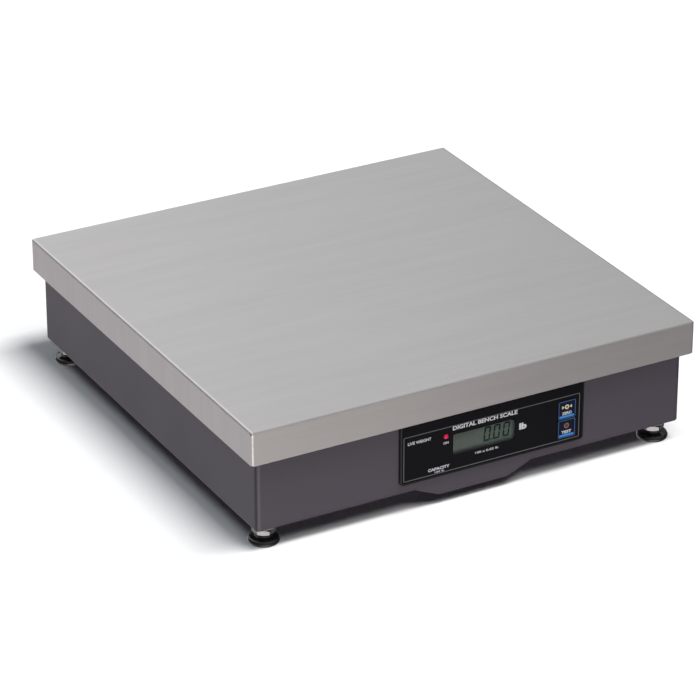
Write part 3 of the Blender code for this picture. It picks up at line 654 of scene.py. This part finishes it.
def bent_sheet(path, sheet, inner_bend):
    """The closed outline of a bent sheet, from the line along its middle."""
    points = [Vector(p) for p in path]
    sides = ([], [])
    for i, here in enumerate(points):
        back = (here - points[i - 1]).normalized() if i else (points[1] - here).normalized()
        ahead = (points[i + 1] - here).normalized() if i + 1 < len(points) else back
        normal = Vector((-(back + ahead).y, (back + ahead).x)).normalized()
        reach = sheet / 2 / max(normal.dot(Vector((-back.y, back.x))), 0.1)
        turn = back.x * ahead.y - back.y * ahead.x
        for side, line in ((1, sides[0]), (-1, sides[1])):
            radius = 0 if abs(turn) < 0.01 else (inner_bend if turn * side > 0 else inner_bend + sheet)
            line.append((*(here + normal * side * reach), radius))
    return rounded([*sides[0], *reversed(sides[1])], 5)


def cross_member():
    low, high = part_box("cross_member")
    sheet, flange = 0.0025, 0.02
    web = high.y - flange - sheet / 2
    base, top = low.z + sheet / 2, high.z - sheet / 2
    path = [(-high.y, base), (-web, base), (-web, top), (web, top), (web, base), (high.y, base)]
    hat = prism(bent_sheet(path, sheet, 0.0012), low.x, high.x, ALONG_X)
    hat = carved(hat, (CUT, bolt_bores("lower", high.z, 0.006, 0.006, steps=48)))
    piece("cell_rail", [(hat, FRAME_PAINT)], "cross_member")


def load_cell():
    low, high, centre = extent("load_cell")
    hole, at, slot = 0.0105, 0.017, 0.004
    cuts = [box((-at, low.y - 0.01, centre.z - slot), (at, high.y + 0.01, centre.z + slot))]
    cuts += [rod(hole, -0.03, 0.03, facing(FORWARD, x, 0, centre.z), 72) for x in (-at, at)]
    ends = (("lower", low.z), ("upper", high.z))
    cuts.append(joined(*[bolt_bores(end, level, 0.022, 0.022) for end, level in ends]))
    beam = carved(box(low, high, 0.0007), *[(CUT, cut) for cut in cuts])
    piece("cell_beam", [(beam, ALUMINIUM)], "load_cell")


def spacer(end):
    low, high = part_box(f"{end}_spacer")
    body = carved(box(low, high, 0.0005), (CUT, bolt_bores(end, high.z, 0.01, 0.01)))
    piece(f"{end}_spacer_plate", [(body, ZINC)], f"{end}_spacer")


def hexagon(flats):
    """Corners of a hexagon with a flat towards -Y."""
    return arc((0, 0), flats / math.sqrt(3), 0, 300, 5)


def hex_bar(flats, low, high, chamfer=0.0007):
    """A hexagonal bar with the curved chamfers that turning leaves on both its ends."""
    outer = flats / math.sqrt(3) + 0.0002
    limits = lathe([
        (0, high), (outer - 2 * chamfer, high), (outer, high - chamfer), (outer, low + chamfer),
        (outer - 2 * chamfer, low), (0, low),
    ], steps=96)
    return carved(prism(hexagon(flats), low, high), (KEEP, limits))


def nut(flats, tall, bore):
    return carved(hex_bar(flats, 0, tall), (CUT, rod(bore, -0.01, 0.02)))


def cell_bolt(node):
    """A socket-head bolt. The lower ones are driven from below."""
    low, high, centre = extent(node)
    radius, head, length = high.x - centre.x, 0.008, high.z - low.z
    shank = radius - 0.0025
    body = lathe([
        (0, 0), (radius - 0.0007, 0), (radius - 0.0002, -0.0002), (radius, -0.0007), (radius, 0.0003 - head),
        (radius - 0.0003, -head), (shank + 0.0003, -head), (shank, -head - 0.0003), (shank, 0.0007 - length),
        (shank - 0.0007, -length), (0, -length),
    ])
    body = carved(body, (CUT, prism(hexagon(0.006), -0.004, 0.001)))
    if "lower" in node:
        body.transform(shift(centre.x, centre.y, low.z) @ spun(180, "X"))
    else:
        body.transform(shift(centre.x, centre.y, high.z))
    piece(f"{node}_screw", [(body, ZINC)], node)


def spider():
    low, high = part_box("spider")
    hub_sheet, arm_sheet, width, reach, ease = 0.005, 0.002, 0.03, 0.253, 0.0004
    hub_top = low.z + hub_sheet
    hub = slab(rectangle((-0.09, 0.09), (-0.045, 0.045), 0.004),
               [(ease, low.z), (0, low.z + ease), (0, hub_top - ease), (ease, hub_top)])
    half, foot, top = (width - arm_sheet) / 2, low.z + 0.0005, high.z - arm_sheet / 2
    section = bent_sheet([(-half, foot), (-half, top), (half, top), (half, foot)], arm_sheet, 0.001)
    steps = [(ADD, prism(section, -reach, reach, spun(turn) @ ALONG_X)) for turn in (45, -45)]
    holes = [rod(0.01, -0.03, 0.03, shift(z=low.z))]
    for sx, sy in CORNERS.values():
        x, y = sx * CUSHION_AT, sy * CUSHION_AT
        side = width / 2 - GAP
        pad = box((-0.02, -side, low.z + 0.0002), (0.02, side, low.z + 0.0032), 0.0003)
        pad.transform(shift(x, y) @ spun(45 * sx * sy))
        steps.append((ADD, pad))
        holes.append(rod(BOLT_HOLE, -0.004, 0.004, shift(x, y, high.z), 32))
    holes.append(bolt_bores("upper", low.z, 0.004, 0.008))
    piece("spider_frame", [(carved(hub, *steps, (CUT, joined(*holes))), FRAME_PAINT)], "spider")


# ---- feet, stops and cushions: four alike ----

def threaded(radius, depth, pitch, low, high, steps=36):
    """A rod with a screw thread and narrower ends."""
    rows = int((high - low) / pitch * 6)
    angles = [2 * math.pi * i / steps for i in range(steps)]
    rings = []
    for row in range(rows + 1):
        level = low + (high - low) * row / rows
        fade = min(1.0, row / 4, (rows - row) / 4)
        ring = []
        for i, angle in enumerate(angles):
            phase = (level / pitch - i / steps) % 1.0
            reach = radius - depth * (abs(2 * phase - 1) * fade + (1 - fade))
            ring.append((reach * math.cos(angle), reach * math.sin(angle), level))
        rings.append(ring)
    first, last = [
        [(share * radius * math.cos(a), share * radius * math.sin(a), level) for a in angles]
        for share, level in ((0.6, low), (0.36, high))
    ]
    return loft([first, *rings, last])


def foot_pad_shape():
    """A moulded foot: a flared skirt, a crowned shoulder and a socket for the stud."""
    return turned([
        (0, 0.0022), (STUD_BORE, 0.0022), (STUD_BORE, 0.0092, 0.0004), (0.0074, 0.0092, 0.0009),
        (0.0086, 0.0066, 0.0016), (0.0136, 0.005, 0.0018), (0.0148, 0.0022, 0.0014), (0.0141, 0.0, 0.0009),
        (0.0095, 0.0, 0.0003), (0.009, 0.0006, 0.0003), (0, 0.0006),
    ], steps=96)


def foot_stud_shape():
    low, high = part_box("foot_stud_fr")
    collar = hex_bar(FOOT_HEX, 0.0095, 0.0142, 0.0009)
    collar.transform(spun(30))
    return joined(threaded(STUD_RADIUS, 0.0008, 0.0015, low.z, high.z), collar)


def bushing_shape():
    return turned([
        (STUD_BORE, 0.012, 0.0003), (0.009, 0.012, 0.0008), (0.009, 0.0022, 0.0006),
        (0.0115, 0.0022, 0.0004), (0.0115, 0.0), (STUD_BORE, 0.0),
    ], arc_steps=3)


def stop_post_shape(tall):
    return carved(hex_bar(0.014, 0, tall), (CUT, rod(0.0033, tall - 0.018, tall + 0.01)))


def stop_screw_shape(tall):
    shank = 0.016
    body = turned([
        (0, tall), (0.0034, tall, 0.004), (0.006, tall - 0.0026, 0.0014), (0.006, shank, 0.0002),
        (0.003, shank), (0.003, 0.0008), (0.0022, 0.0), (0, 0.0),
    ])
    return carved(body, (CUT, box((-0.008, -0.0006, tall - 0.0016), (0.008, 0.0006, tall + 0.002))))


def cushion_shape(tall):
    seat = 0.0063
    return turned([
        (0, tall), (0.0112, tall, 0.001), (0.013, tall - 0.0028, 0.0012), (0.013, seat + 0.0008, 0.0006),
        (0.012, seat, 0.0003), (0.004, seat, 0.0002), (0.004, 0.0044), (0.0054, 0.004, 0.0002),
        (0.0034, 0.0, 0.0008), (0, 0.0),
    ], steps=72, arc_steps=5)


def tall(node):
    low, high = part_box(node)
    return high.z - low.z


def repeated(label, shape, material, node, on_floor=False):
    """The same piece at each corner, from one mesh. It stands on its node's bottom or on the floor."""
    mesh = finished(label, [(shape, material)])
    for corner in CORNERS:
        low, _, centre = extent(f"{node}_{corner}")
        at = (centre.x, centre.y, 0.0 if on_floor else low.z)
        place_mesh(f"{label}_{corner}", mesh, f"{node}_{corner}", at)


def feet_and_stops():
    repeated("foot", foot_pad_shape(), RUBBER, "foot_pad", on_floor=True)
    repeated("levelling_stud", foot_stud_shape(), DULL_SHADED_ZINC, "foot_stud", on_floor=True)
    repeated("jam_nut", nut(FOOT_HEX, tall("foot_nut_fr"), STUD_BORE), DULL_SHADED_ZINC, "foot_nut")
    repeated("stud_bushing", bushing_shape(), ZINC, "foot_bushing")
    repeated("overload_post", stop_post_shape(tall("stop_post_fr")), ZINC, "stop_post")
    repeated("overload_screw", stop_screw_shape(tall("stop_screw_fr")), ZINC, "stop_screw")
    repeated("bumper", cushion_shape(tall("cushion_fr")), CUSHION, "cushion")


# ---- display ----

def face_openings(y, reach):
    """Cutters for the two keys' shared opening and for the lamp."""
    low, high = middle("test_key"), middle("zero_key")
    half = KEY_HALF + GAP
    across, upright = wider((high.x, high.x), half), wider((low.z, high.z), half)
    keys = plate(across, upright, KEY_CORNER, -reach, reach, FACE_Y)
    return [(CUT, keys), (CUT, rod(LED_HOLE, -0.01, 0.01, facing(FORWARD, LED.x, y, LED.z)))]


def bezel():
    """A moulded frame with rounded corners, an eased front edge, a pocket and a sleeve through the wall."""
    thick = FLANGE_REAR - PANEL_LOW.y
    rear = FLANGE_REAR - PANEL_HIGH.y
    ease, wall, rim = 0.0006, 0.002, 0.0018
    edge = [(ease - a, thick - ease + b) for a, b in arc((0, 0), ease, 0, 90, 5)]
    flange = slab(rectangle(PANEL_X, PANEL_Z, 0.0032), [(0, 0), *edge], on_front(FLANGE_REAR))
    span_x, span_z = wider(PANEL_X, -0.0044), wider(PANEL_Z, -0.0044)
    steps = [
        (ADD, plate(span_x, span_z, 0.0008, 0.0002, rear, FLANGE_REAR)),
        (CUT, plate(wider(span_x, -wall), wider(span_z, -wall), 0.0004, 0.0, rear - 0.005, FLANGE_REAR)),
        (CUT, plate(wider(PANEL_X, -rim), wider(PANEL_Z, -rim), rim, thick - 0.0008, 0.01, FLANGE_REAR)),
        (CUT, plate(wider(WINDOW_X, 0.0017), wider(WINDOW_Z, 0.0017), 0.0004, -0.002, 0.01, FLANGE_REAR)),
        *face_openings(FLANGE_REAR, 0.006),
    ]
    board_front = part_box("display_board")[0].y - GAP
    for i in range(1, 5):
        screw = middle(f"board_screw_{i}")
        spot = facing(FORWARD, screw.x, board_front, screw.z)
        steps.append((ADD, rod(0.0035, 0.0, board_front - FLANGE_REAR + 0.0002, spot, 32)))
        steps.append((CUT, rod(0.0013, -0.002, 0.007, spot, 20)))
    behind = WALL_FRONT + PAN_SHEET + GAP
    for z in wider(span_z, 0.0006):
        for x in (-0.05, 0.095):
            steps.append((ADD, block(x, z, 0.01, 0.0032, behind, behind + 0.004, 0.0003)))
    piece("display_bezel", [(carved(flange, *steps), BLACK_PLASTIC)], "bezel")


def overlay():
    thick = FACE_HIGH.y - FACE_LOW.y
    outline = rectangle((FACE_LOW.x, FACE_HIGH.x), (FACE_LOW.z, FACE_HIGH.z), 0.0016)
    face = slab(outline, [(0, -thick), (0, -0.0001), (0.0001, 0)], on_front(FACE_Y))
    window = plate(WINDOW_X, WINDOW_Z, 0.0005, -0.005, 0.005, FACE_Y)
    face = carved(face, (CUT, window), *face_openings(FACE_Y, 0.005))
    piece("display_face", [(face, FACE)], "overlay")


def lettering(words, height, left, right, low, y, bold):
    """Words in thin ink on the front, between two edges: the baseline and the height of a capital letter."""
    curve = bpy.data.curves.new("words", "FONT")
    curve.body, curve.size, curve.offset, curve.resolution_u = words, 1.0, bold, 3
    obj = in_scene("words", curve)
    bm = as_evaluated(obj)
    bpy.data.objects.remove(obj)
    bpy.data.curves.remove(curve)
    bmesh.ops.remove_doubles(bm, verts=bm.verts[:], dist=1e-5)
    solid = bmesh.ops.extrude_face_region(bm, geom=bm.faces[:])
    top = [v for v in solid["geom"] if isinstance(v, bmesh.types.BMVert)]
    bmesh.ops.translate(bm, vec=(0, 0, 1.0), verts=top)
    xs = [v.co.x for v in bm.verts]
    ys = [v.co.y for v in bm.verts]
    tall = height / (max(ys) - min(ys))
    wide = (right - left) / (max(xs) - min(xs))
    place = on_front(y) @ shift(left - min(xs) * wide, low - min(ys) * tall)
    bm.transform(place @ Matrix.Diagonal((wide, tall, INK, 1.0)))
    bmesh.ops.recalc_face_normals(bm, faces=bm.faces[:])
    return bm


def band(x, z, radius, width, y):
    """A thin printed line round a rounded rectangle."""
    outline = rectangle(x, z, radius)
    corners = ((0.0, 0), (0.0, INK), (width, INK), (width, 0))
    place = on_front(y)
    rings = [[place @ Vector((a, b, level)) for a, b in outline(inset)] for inset, level in corners]
    return loft(rings, around=True)


def ring_mark(x, z, outer, inner, y, steps=40):
    return lathe([(outer, 0), (outer, INK), (inner, INK), (inner, 0)], facing(FORWARD, x, y, z), steps)


def arrowhead(tip, base, z, half, y):
    return prism([(tip, z), (base, z + half), (base, z - half)], 0, INK, on_front(y))


def face_print():
    y = FACE_Y - HAIRLINE
    words = [
        lettering("DIGITAL BENCH SCALE", 0.0042, -0.0238, 0.0436, 0.0729, y, 0.035),
        lettering("lb", 0.0066, 0.0458, 0.0535, 0.0558, y, 0.045),
        lettering("CAPACITY", 0.003, -0.049, -0.0268, 0.037, y, 0.03),
        lettering("LIVE WEIGHT", 0.003, -0.07, -0.046, 0.069, y, 0.02),
        lettering("ON", 0.0024, -0.0335, -0.0281, 0.0611, y, 0.03),
        lettering("100 x 0.02 lb", 0.0022, 0.0000, 0.024, 0.043, y, 0.015),
        lettering("100 lb", 0.0017, -0.042, -0.0322, 0.0344, y, 0.015),
    ]
    line = band(LINE_X, LINE_Z, 0.0012, 0.0009, y)
    piece("face_lettering", [(joined(*words), WHITE_INK), (line, LINE_INK)], "overlay", stands_for=False)


def segment_nought(left, low, width, height, y):
    """A leaning seven-segment nought: six strokes with mitred ends."""
    stroke, gap, slant = 0.0019, 0.00022, 0.1
    right, top, mid, reach = left + width, low + height, low + height / 2, stroke - gap
    strokes = [
        [(left + gap, z), (right - gap, z), (right - stroke, z + inward), (left + stroke, z + inward)]
        for z, inward in ((low, reach), (top, -reach))
    ]
    for edge, inward in ((left, reach), (right, -reach)):
        for start, end in ((low, mid), (mid, top)):
            at_foot, at_head = (1 if start == low else 0.5), (1 if end == top else 0.5)
            strokes.append([
                (edge, start + gap * at_foot), (edge, end - gap * at_head),
                (edge + inward, end - stroke * at_head), (edge + inward, start + stroke * at_foot),
            ])
    return [
        prism([(x + (z - low) * slant, z) for x, z in outline], 0, INK, on_front(y)) for outline in strokes
    ]


def lcd():
    low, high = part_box("lcd_module")
    rear, edge = low.y + 0.0022, 0.0006
    glass = box((low.x + edge, low.y, low.z + edge), (high.x - edge, rear, high.z - edge), 0.0002)
    holder = box((low.x, rear + 0.0001, low.z), high, 0.0004)
    piece("lcd_module_stack", [(glass, LCD), (holder, NYLON)], "lcd_module")
    y = low.y - HAIRLINE
    start, bottom, width, height, pitch = 0.0095, 0.0519, 0.0069, 0.0144, 0.01
    digits = []
    for i in range(3):
        digits += segment_nought(start + i * pitch, bottom, width, height, y)
    point = start + width + 0.0009
    digits.append(plate((point, point + 0.0014), (bottom, bottom + 0.0014), 0.0002, 0, INK, y))
    piece("lcd_digits", [(joined(*digits), SEGMENT)], "lcd_module", stands_for=False)


def lens():
    piece("display_window", [(box(*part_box("display_lens"), 0.0002), LENS)], "display_lens")


def power_light():
    """A domed 5 mm lamp with a flat collar and two leads into the board."""
    low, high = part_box("power_light")
    length, radius, collar, back = high.y - low.y, 0.0025, 0.0035, 0.0005
    profile = [
        (0, length), *arc((0, length - radius), radius, 90, 0, 12)[1:], (radius, collar),
        (0.0028, collar), (0.0029, collar - 0.0001), (0.0029, collar - 0.001), (0.0024, collar - 0.001),
        (0.0024, back), (0, back),
    ]
    place = facing(FORWARD, LED.x, high.y, LED.z)
    leads = [rod(0.00025, 0.0, back + 0.0002, place @ shift(x), 12) for x in (-0.00127, 0.00127)]
    piece("power_lamp", [(lathe(profile, place), RED), (joined(*leads), TIN)], "power_light")


def board():
    low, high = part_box("display_board")
    screws = [f"board_screw_{i}" for i in range(1, 5)]
    holes = [rod(0.0014, -0.01, 0.01, facing(BACKWARD, at.x, low.y, at.z), 24) for at in map(middle, screws)]
    body = carved(box(low, high, 0.00015, 1), (CUT, joined(*holes)))
    piece("circuit_board", [(body, BOARD)], "display_board")
    rear = high.y + 0.0001
    chips, leads = [], []
    for x, z, width, height, pins in ((0.01, 0.052, 0.012, 0.008, 10), (-0.044, 0.066, 0.008, 0.005, 7)):
        chips.append(block(x, z, width, height, rear, rear + 0.0016, 0.0002))
        for i in range(pins):
            at = x - width / 2 + width * (i + 0.5) / pins
            for edge in wider((z, z), height / 2 + 0.0006):
                leads.append(block(at, edge, 0.0004, 0.0012, rear, rear + 0.0005))
    for x, z in ((0.058, 0.052), (0.064, 0.052), (-0.008, 0.072)):
        chips.append(rod(0.0022, 0.0, 0.0048, facing(BACKWARD, x, rear, z), 32))
    plugs = [
        block(x, z, 0.011, 0.0052, rear, rear + 0.0052, 0.0003) for x, z in ((0.043, 0.066), (-0.025, 0.044))
    ]
    piece("board_components", [(joined(*chips), CHIP), (joined(*leads), TIN), (joined(*plugs), NYLON)],
          "display_board", stands_for=False)
    for screw in screws:
        board_screw(screw)


def board_screw(node):
    low, high, centre = extent(node)
    head, length = 0.0018, high.y - low.y
    body = turned([
        (0, 0), (0.0018, 0, 0.001), (0.0028, -0.0009, 0.0006), (0.0028, -head), (0.001, -head),
        (0.001, 0.0004 - length), (0.0007, -length), (0, -length),
    ], steps=40, arc_steps=5)
    slots = [box((-a, -b, -0.001), (a, b, 0.001)) for a, b in ((0.0016, 0.0003), (0.0003, 0.0016))]
    screw = carved(body, *[(CUT, slot) for slot in slots])
    screw.transform(facing(BACKWARD, centre.x, high.y, centre.z))
    piece(f"{node}_pan_head", [(screw, ZINC)], node)


def key(label):
    """A key cap with a raised rim, its word, its sign and the bright bar along its foot."""
    node = f"{label}_key"
    low, high, centre = extent(node)
    span_x, span_z = wider((centre.x,) * 2, KEY_HALF), wider((centre.z,) * 2, KEY_HALF)
    cap = slab(rectangle(span_x, span_z, KEY_CORNER), [
        (0, low.y - WALL_FRONT - 0.0001), (0, -0.0004), (0.00012, -0.00012), (0.0004, 0), (0.0011, 0),
        (0.0013, -0.00022),
    ], on_front(low.y))
    wide, upright = high.x - low.x, 2 * KEY_HALF - 0.0004
    flange = block(centre.x, centre.z, wide, upright, WALL_FRONT, WALL_FRONT + 0.001, 0.0002)
    stem = block(centre.x, centre.z, 0.005, 0.005, WALL_FRONT + 0.0009, high.y)
    piece(f"{label}_cap", [(cap, NAVY), (joined(flange, stem), BLACK_PLASTIC)], node)
    y = low.y + 0.00022
    rim = band(span_x, span_z, KEY_CORNER, 0.0008, low.y + HAIRLINE)
    foot = span_z[0]
    bar = plate(wider(span_x, -0.0014), (foot + 0.0012, foot + 0.0034), 0.0002, 0, INK, y)
    word = lettering(label.upper(), 0.0029, centre.x - 0.0052, centre.x + 0.0052, foot + 0.0042, y, 0.03)
    sign_z = foot + 0.0119
    if label == "zero":
        marks = [ring_mark(centre.x, sign_z, 0.0023, 0.0011, y)]
        for side in (-1, 1):
            marks.append(arrowhead(centre.x + side * 0.0026, centre.x + side * 0.0052, sign_z, 0.0017, y))
        ink = CREAM_INK
    else:
        marks = [
            ring_mark(centre.x, sign_z, outer, inner, y, steps)
            for outer, inner, steps in ((0.0027, 0.0014, 40), (0.0006, 0.0001, 20))
        ]
        ink = BROWN_INK
    parts = [(rim, RIM_INK), (bar, BLUE_INK), (word, WHITE_INK), (joined(*marks), ink)]
    piece(f"{label}_marks", parts, node, stands_for=False)
    low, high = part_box(f"{label}_plunger")
    radius, length = (high.x - low.x) / 2, high.y - low.y
    pin = turned([(0, length), (radius, length, 0.0003), (radius, 0, 0.0004), (0, 0)],
                 facing(FORWARD, centre.x, high.y, centre.z), 32)
    piece(f"{label}_plunger_pin", [(pin, NYLON)], f"{label}_plunger")
    low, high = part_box(f"{label}_switch")
    bore = rod(0.00205, -0.0028, 0.001, facing(FORWARD, centre.x, low.y, centre.z), 32)
    piece(f"{label}_switch_body", [(carved(box(low, high, 0.0003), (CUT, bore)), CHIP)], f"{label}_switch")


# ---- power jack and cables ----

def power_jack():
    low, high, centre = extent("power_jack")
    radius, length = high.x - centre.x, high.y - low.y
    barrel, flange, socket, depth, pin = 0.0055, 0.0015, 0.0031, 0.011, 0.00105
    body = turned([
        (0, -0.001), (pin, -0.001, 0.0004), (pin, -depth), (socket, -depth), (socket, 0, 0.0003),
        (radius, 0, 0.0005), (radius, -flange, 0.0002), (barrel, -flange), (barrel, -length, 0.0004),
        (0, -length),
    ], facing(BACKWARD, centre.x, high.y, centre.z), arc_steps=5)
    piece("jack_body", [(body, BLACK_PLASTIC)], "power_jack")
    low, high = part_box("power_jack_nut")
    ring = nut(0.016, high.y - low.y, barrel + GAP)
    ring.transform(facing(BACKWARD, centre.x, low.y, centre.z))
    piece("jack_nut", [(ring, ZINC)], "power_jack_nut")


def smooth_route(points, per_span):
    """Points along one smooth curve through a route (a Catmull-Rom curve)."""
    points = [Vector(p) for p in points]
    ends = [2 * points[0] - points[1], *points, 2 * points[-1] - points[-2]]
    found = []
    for a, b, c, d in zip(ends, ends[1:], ends[2:], ends[3:]):
        for step in range(per_span):
            t = step / per_span
            curve = 2 * b + (c - a) * t + (2 * a - 5 * b + 4 * c - d) * t**2 + (3 * b - a - 3 * c + d) * t**3
            found.append(0.5 * curve)
    return [*found, points[-1]]


def cable(name, node, radius, route):
    """A sheathed cable along its route, as a mesh tube with closed ends."""
    points = smooth_route(route, 10)
    angles = [2 * math.pi * k / 20 for k in range(20)]
    rings = []
    side = Vector((0, 0, 1))
    for i, here in enumerate(points):
        ahead = (points[min(i + 1, len(points) - 1)] - points[max(i - 1, 0)]).normalized()
        side = (side - ahead * side.dot(ahead)).normalized()
        other = ahead.cross(side)
        rings.append([here + radius * (side * math.cos(a) + other * math.sin(a)) for a in angles])
    piece(name, [(loft(rings), CABLE)], node)


def cables():
    board_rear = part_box("display_board")[1].y + GAP
    cell_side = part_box("load_cell")[0].y
    jack = middle("power_jack")
    cable("cell_lead", "load_cell_cable", 0.0025, [
        (-0.066, cell_side - GAP, 0.0734), (-0.066, -0.034, 0.0734), (-0.062, -0.06, 0.066),
        (-0.052, -0.096, 0.044), (-0.04, -0.135, 0.034), (-0.03, -0.168, 0.038),
        (-0.026, -0.188, 0.05), (-0.025, -0.2, 0.055), (-0.025, board_rear, 0.056),
    ])
    cable("supply_lead", "power_lead", 0.002, [
        (jack.x, -WALL_FRONT - 0.018, jack.z), (0.14, 0.19, jack.z), (0.138, 0.175, 0.04),
        (0.143, 0.148, 0.031), (0.162, 0.115, 0.0268), (0.181, 0.07, 0.026), (0.187, 0.0, 0.0258),
        (0.183, -0.07, 0.026), (0.168, -0.12, 0.0275), (0.14, -0.152, 0.032), (0.103, -0.174, 0.04),
        (0.066, -0.188, 0.05), (0.047, -0.198, 0.057), (0.043, -0.204, 0.058), (0.043, board_rear, 0.058),
    ])


# ---- studio ----

CAMERA_AZIMUTH, CAMERA_ELEVATION = -28.87, 26.61
CAMERA_DISTANCE = 3.44
CAMERA_AIM = Vector((-0.0185, -0.0234, 0.0645))
CAMERA_LENS = 188.7
DIM_STUDIO = (0.2, 0.2, 0.21)
# Each glow: azimuth, elevation, cosines at its edge and where it is full, and colour.
GLOWS = (
    (199, 51, 0.5, 1.00, (1.23, 1.23, 1.23)),
    (20, 70, 0.3, 0.95, (0.45, 0.45, 0.45)),
    (-15, -28, 0.71, 0.91, (2.74, 2.46, 2.37)),
    (206, -34, 0.35, 0.95, (0.5, 0.48, 0.5)),
)


def direction(azimuth, elevation):
    """The unit vector from the object towards a viewer. Azimuth 0 is in front, at -Y."""
    a, e = math.radians(azimuth), math.radians(elevation)
    return Vector((math.sin(a) * math.cos(e), -math.cos(a) * math.cos(e), math.sin(e)))


def looking(back):
    return (-back).to_track_quat("-Z", "Y").to_euler()


def camera():
    data = bpy.data.cameras.new("camera")
    data.lens, data.sensor_width, data.clip_end = CAMERA_LENS, 36.0, 50.0
    obj = in_scene("camera", data)
    back = direction(CAMERA_AZIMUTH, CAMERA_ELEVATION)
    obj.location = CAMERA_AIM + back * CAMERA_DISTANCE
    obj.rotation_euler = looking(back)
    bpy.context.scene.camera = obj


def lamp(name, kind, at, turn, **settings):
    """A light that doesn't show in gloss."""
    data = bpy.data.lights.new(name, kind)
    for key, value in settings.items():
        setattr(data, key, value)
    obj = in_scene(name, data)
    obj.location, obj.rotation_euler, obj.visible_glossy = at, turn, False


def soft_light(name, azimuth, elevation, strength, spread, colour=(1, 1, 1)):
    """Even light from a round patch of the sky, so many degrees across."""
    turn = looking(direction(azimuth, elevation))
    lamp(name, "SUN", (0, 0, 0), turn, energy=strength, angle=math.radians(spread), color=colour)


def softbox(name, at, size, power):
    """A rectangular panel of light, long in X, which faces the object."""
    turn = (math.atan2(-at[1], at[2]), 0, 0)
    lamp(name, "AREA", at, turn, shape="RECTANGLE", size=size[0], size_y=size[1], energy=power)


def floor():
    bm = bmesh.new()
    bmesh.ops.create_grid(bm, x_segments=1, y_segments=1, size=6.0)
    obj = in_scene("floor", as_mesh(bm, "floor"))
    paper = Finish("white_paper", (0.88, 0.88, 0.88), 0.9, Specular_IOR_Level=0.1)
    obj.data.materials.append(paper.material)
    obj.visible_glossy = False


def world():
    """What the gloss shows: a dim studio with a dark horizon and four broad glows."""
    sky = bpy.data.worlds.new("studio")
    sky.use_nodes = True
    tree = sky.node_tree

    def vector(operation, inputs):
        return add_node(tree, "VectorMath", inputs, operation=operation)

    def smooth(inputs):
        return add_node(tree, "MapRange", inputs, interpolation_type="SMOOTHSTEP").outputs[0]

    towards = tree.nodes.new("ShaderNodeTexCoord").outputs["Generated"]
    total = add_node(tree, "CombineXYZ", dict(enumerate(DIM_STUDIO))).outputs[0]
    for azimuth, elevation, edge, full, colour in GLOWS:
        cosine = vector("DOT_PRODUCT", {0: towards, 1: direction(azimuth, elevation)}).outputs["Value"]
        glow = vector("SCALE", {0: colour, "Scale": smooth({0: cosine, 1: edge, 2: full})}).outputs[0]
        total = vector("ADD", {0: total, 1: glow}).outputs[0]
    upward = add_node(tree, "SeparateXYZ", {0: towards}).outputs["Z"]
    height = add_node(tree, "Math", {0: upward}, operation="ABSOLUTE").outputs[0]
    total = vector("SCALE", {0: total, "Scale": smooth({0: height, 1: 0.02, 2: 0.3, 3: 0.1})}).outputs[0]
    tree.links.new(total, tree.nodes["Background"].inputs["Color"])
    sky.cycles_visibility.diffuse = False
    bpy.context.scene.world = sky


def studio():
    world()
    floor()
    softbox("overhead", (2.4, -3.00, 11.7), (6.3, 3.0), 1440.0)
    soft_light("front", 15, 58, 0.85, 24)
    soft_light("left", -100, 72, 0.7, 34, (0.86, 0.93, 1.0))
    bpy.context.scene.view_settings.view_transform = "Standard"
    camera()


platter()
base_pan()
cross_member()
load_cell()
for end in ("lower", "upper"):
    spacer(end)
    for label in ("front", "rear"):
        cell_bolt(f"cell_bolt_{end}_{label}")
spider()
feet_and_stops()
bezel()
overlay()
face_print()
lcd()
lens()
power_light()
board()
for label in ("zero", "test"):
    key(label)
power_jack()
cables()
studio()
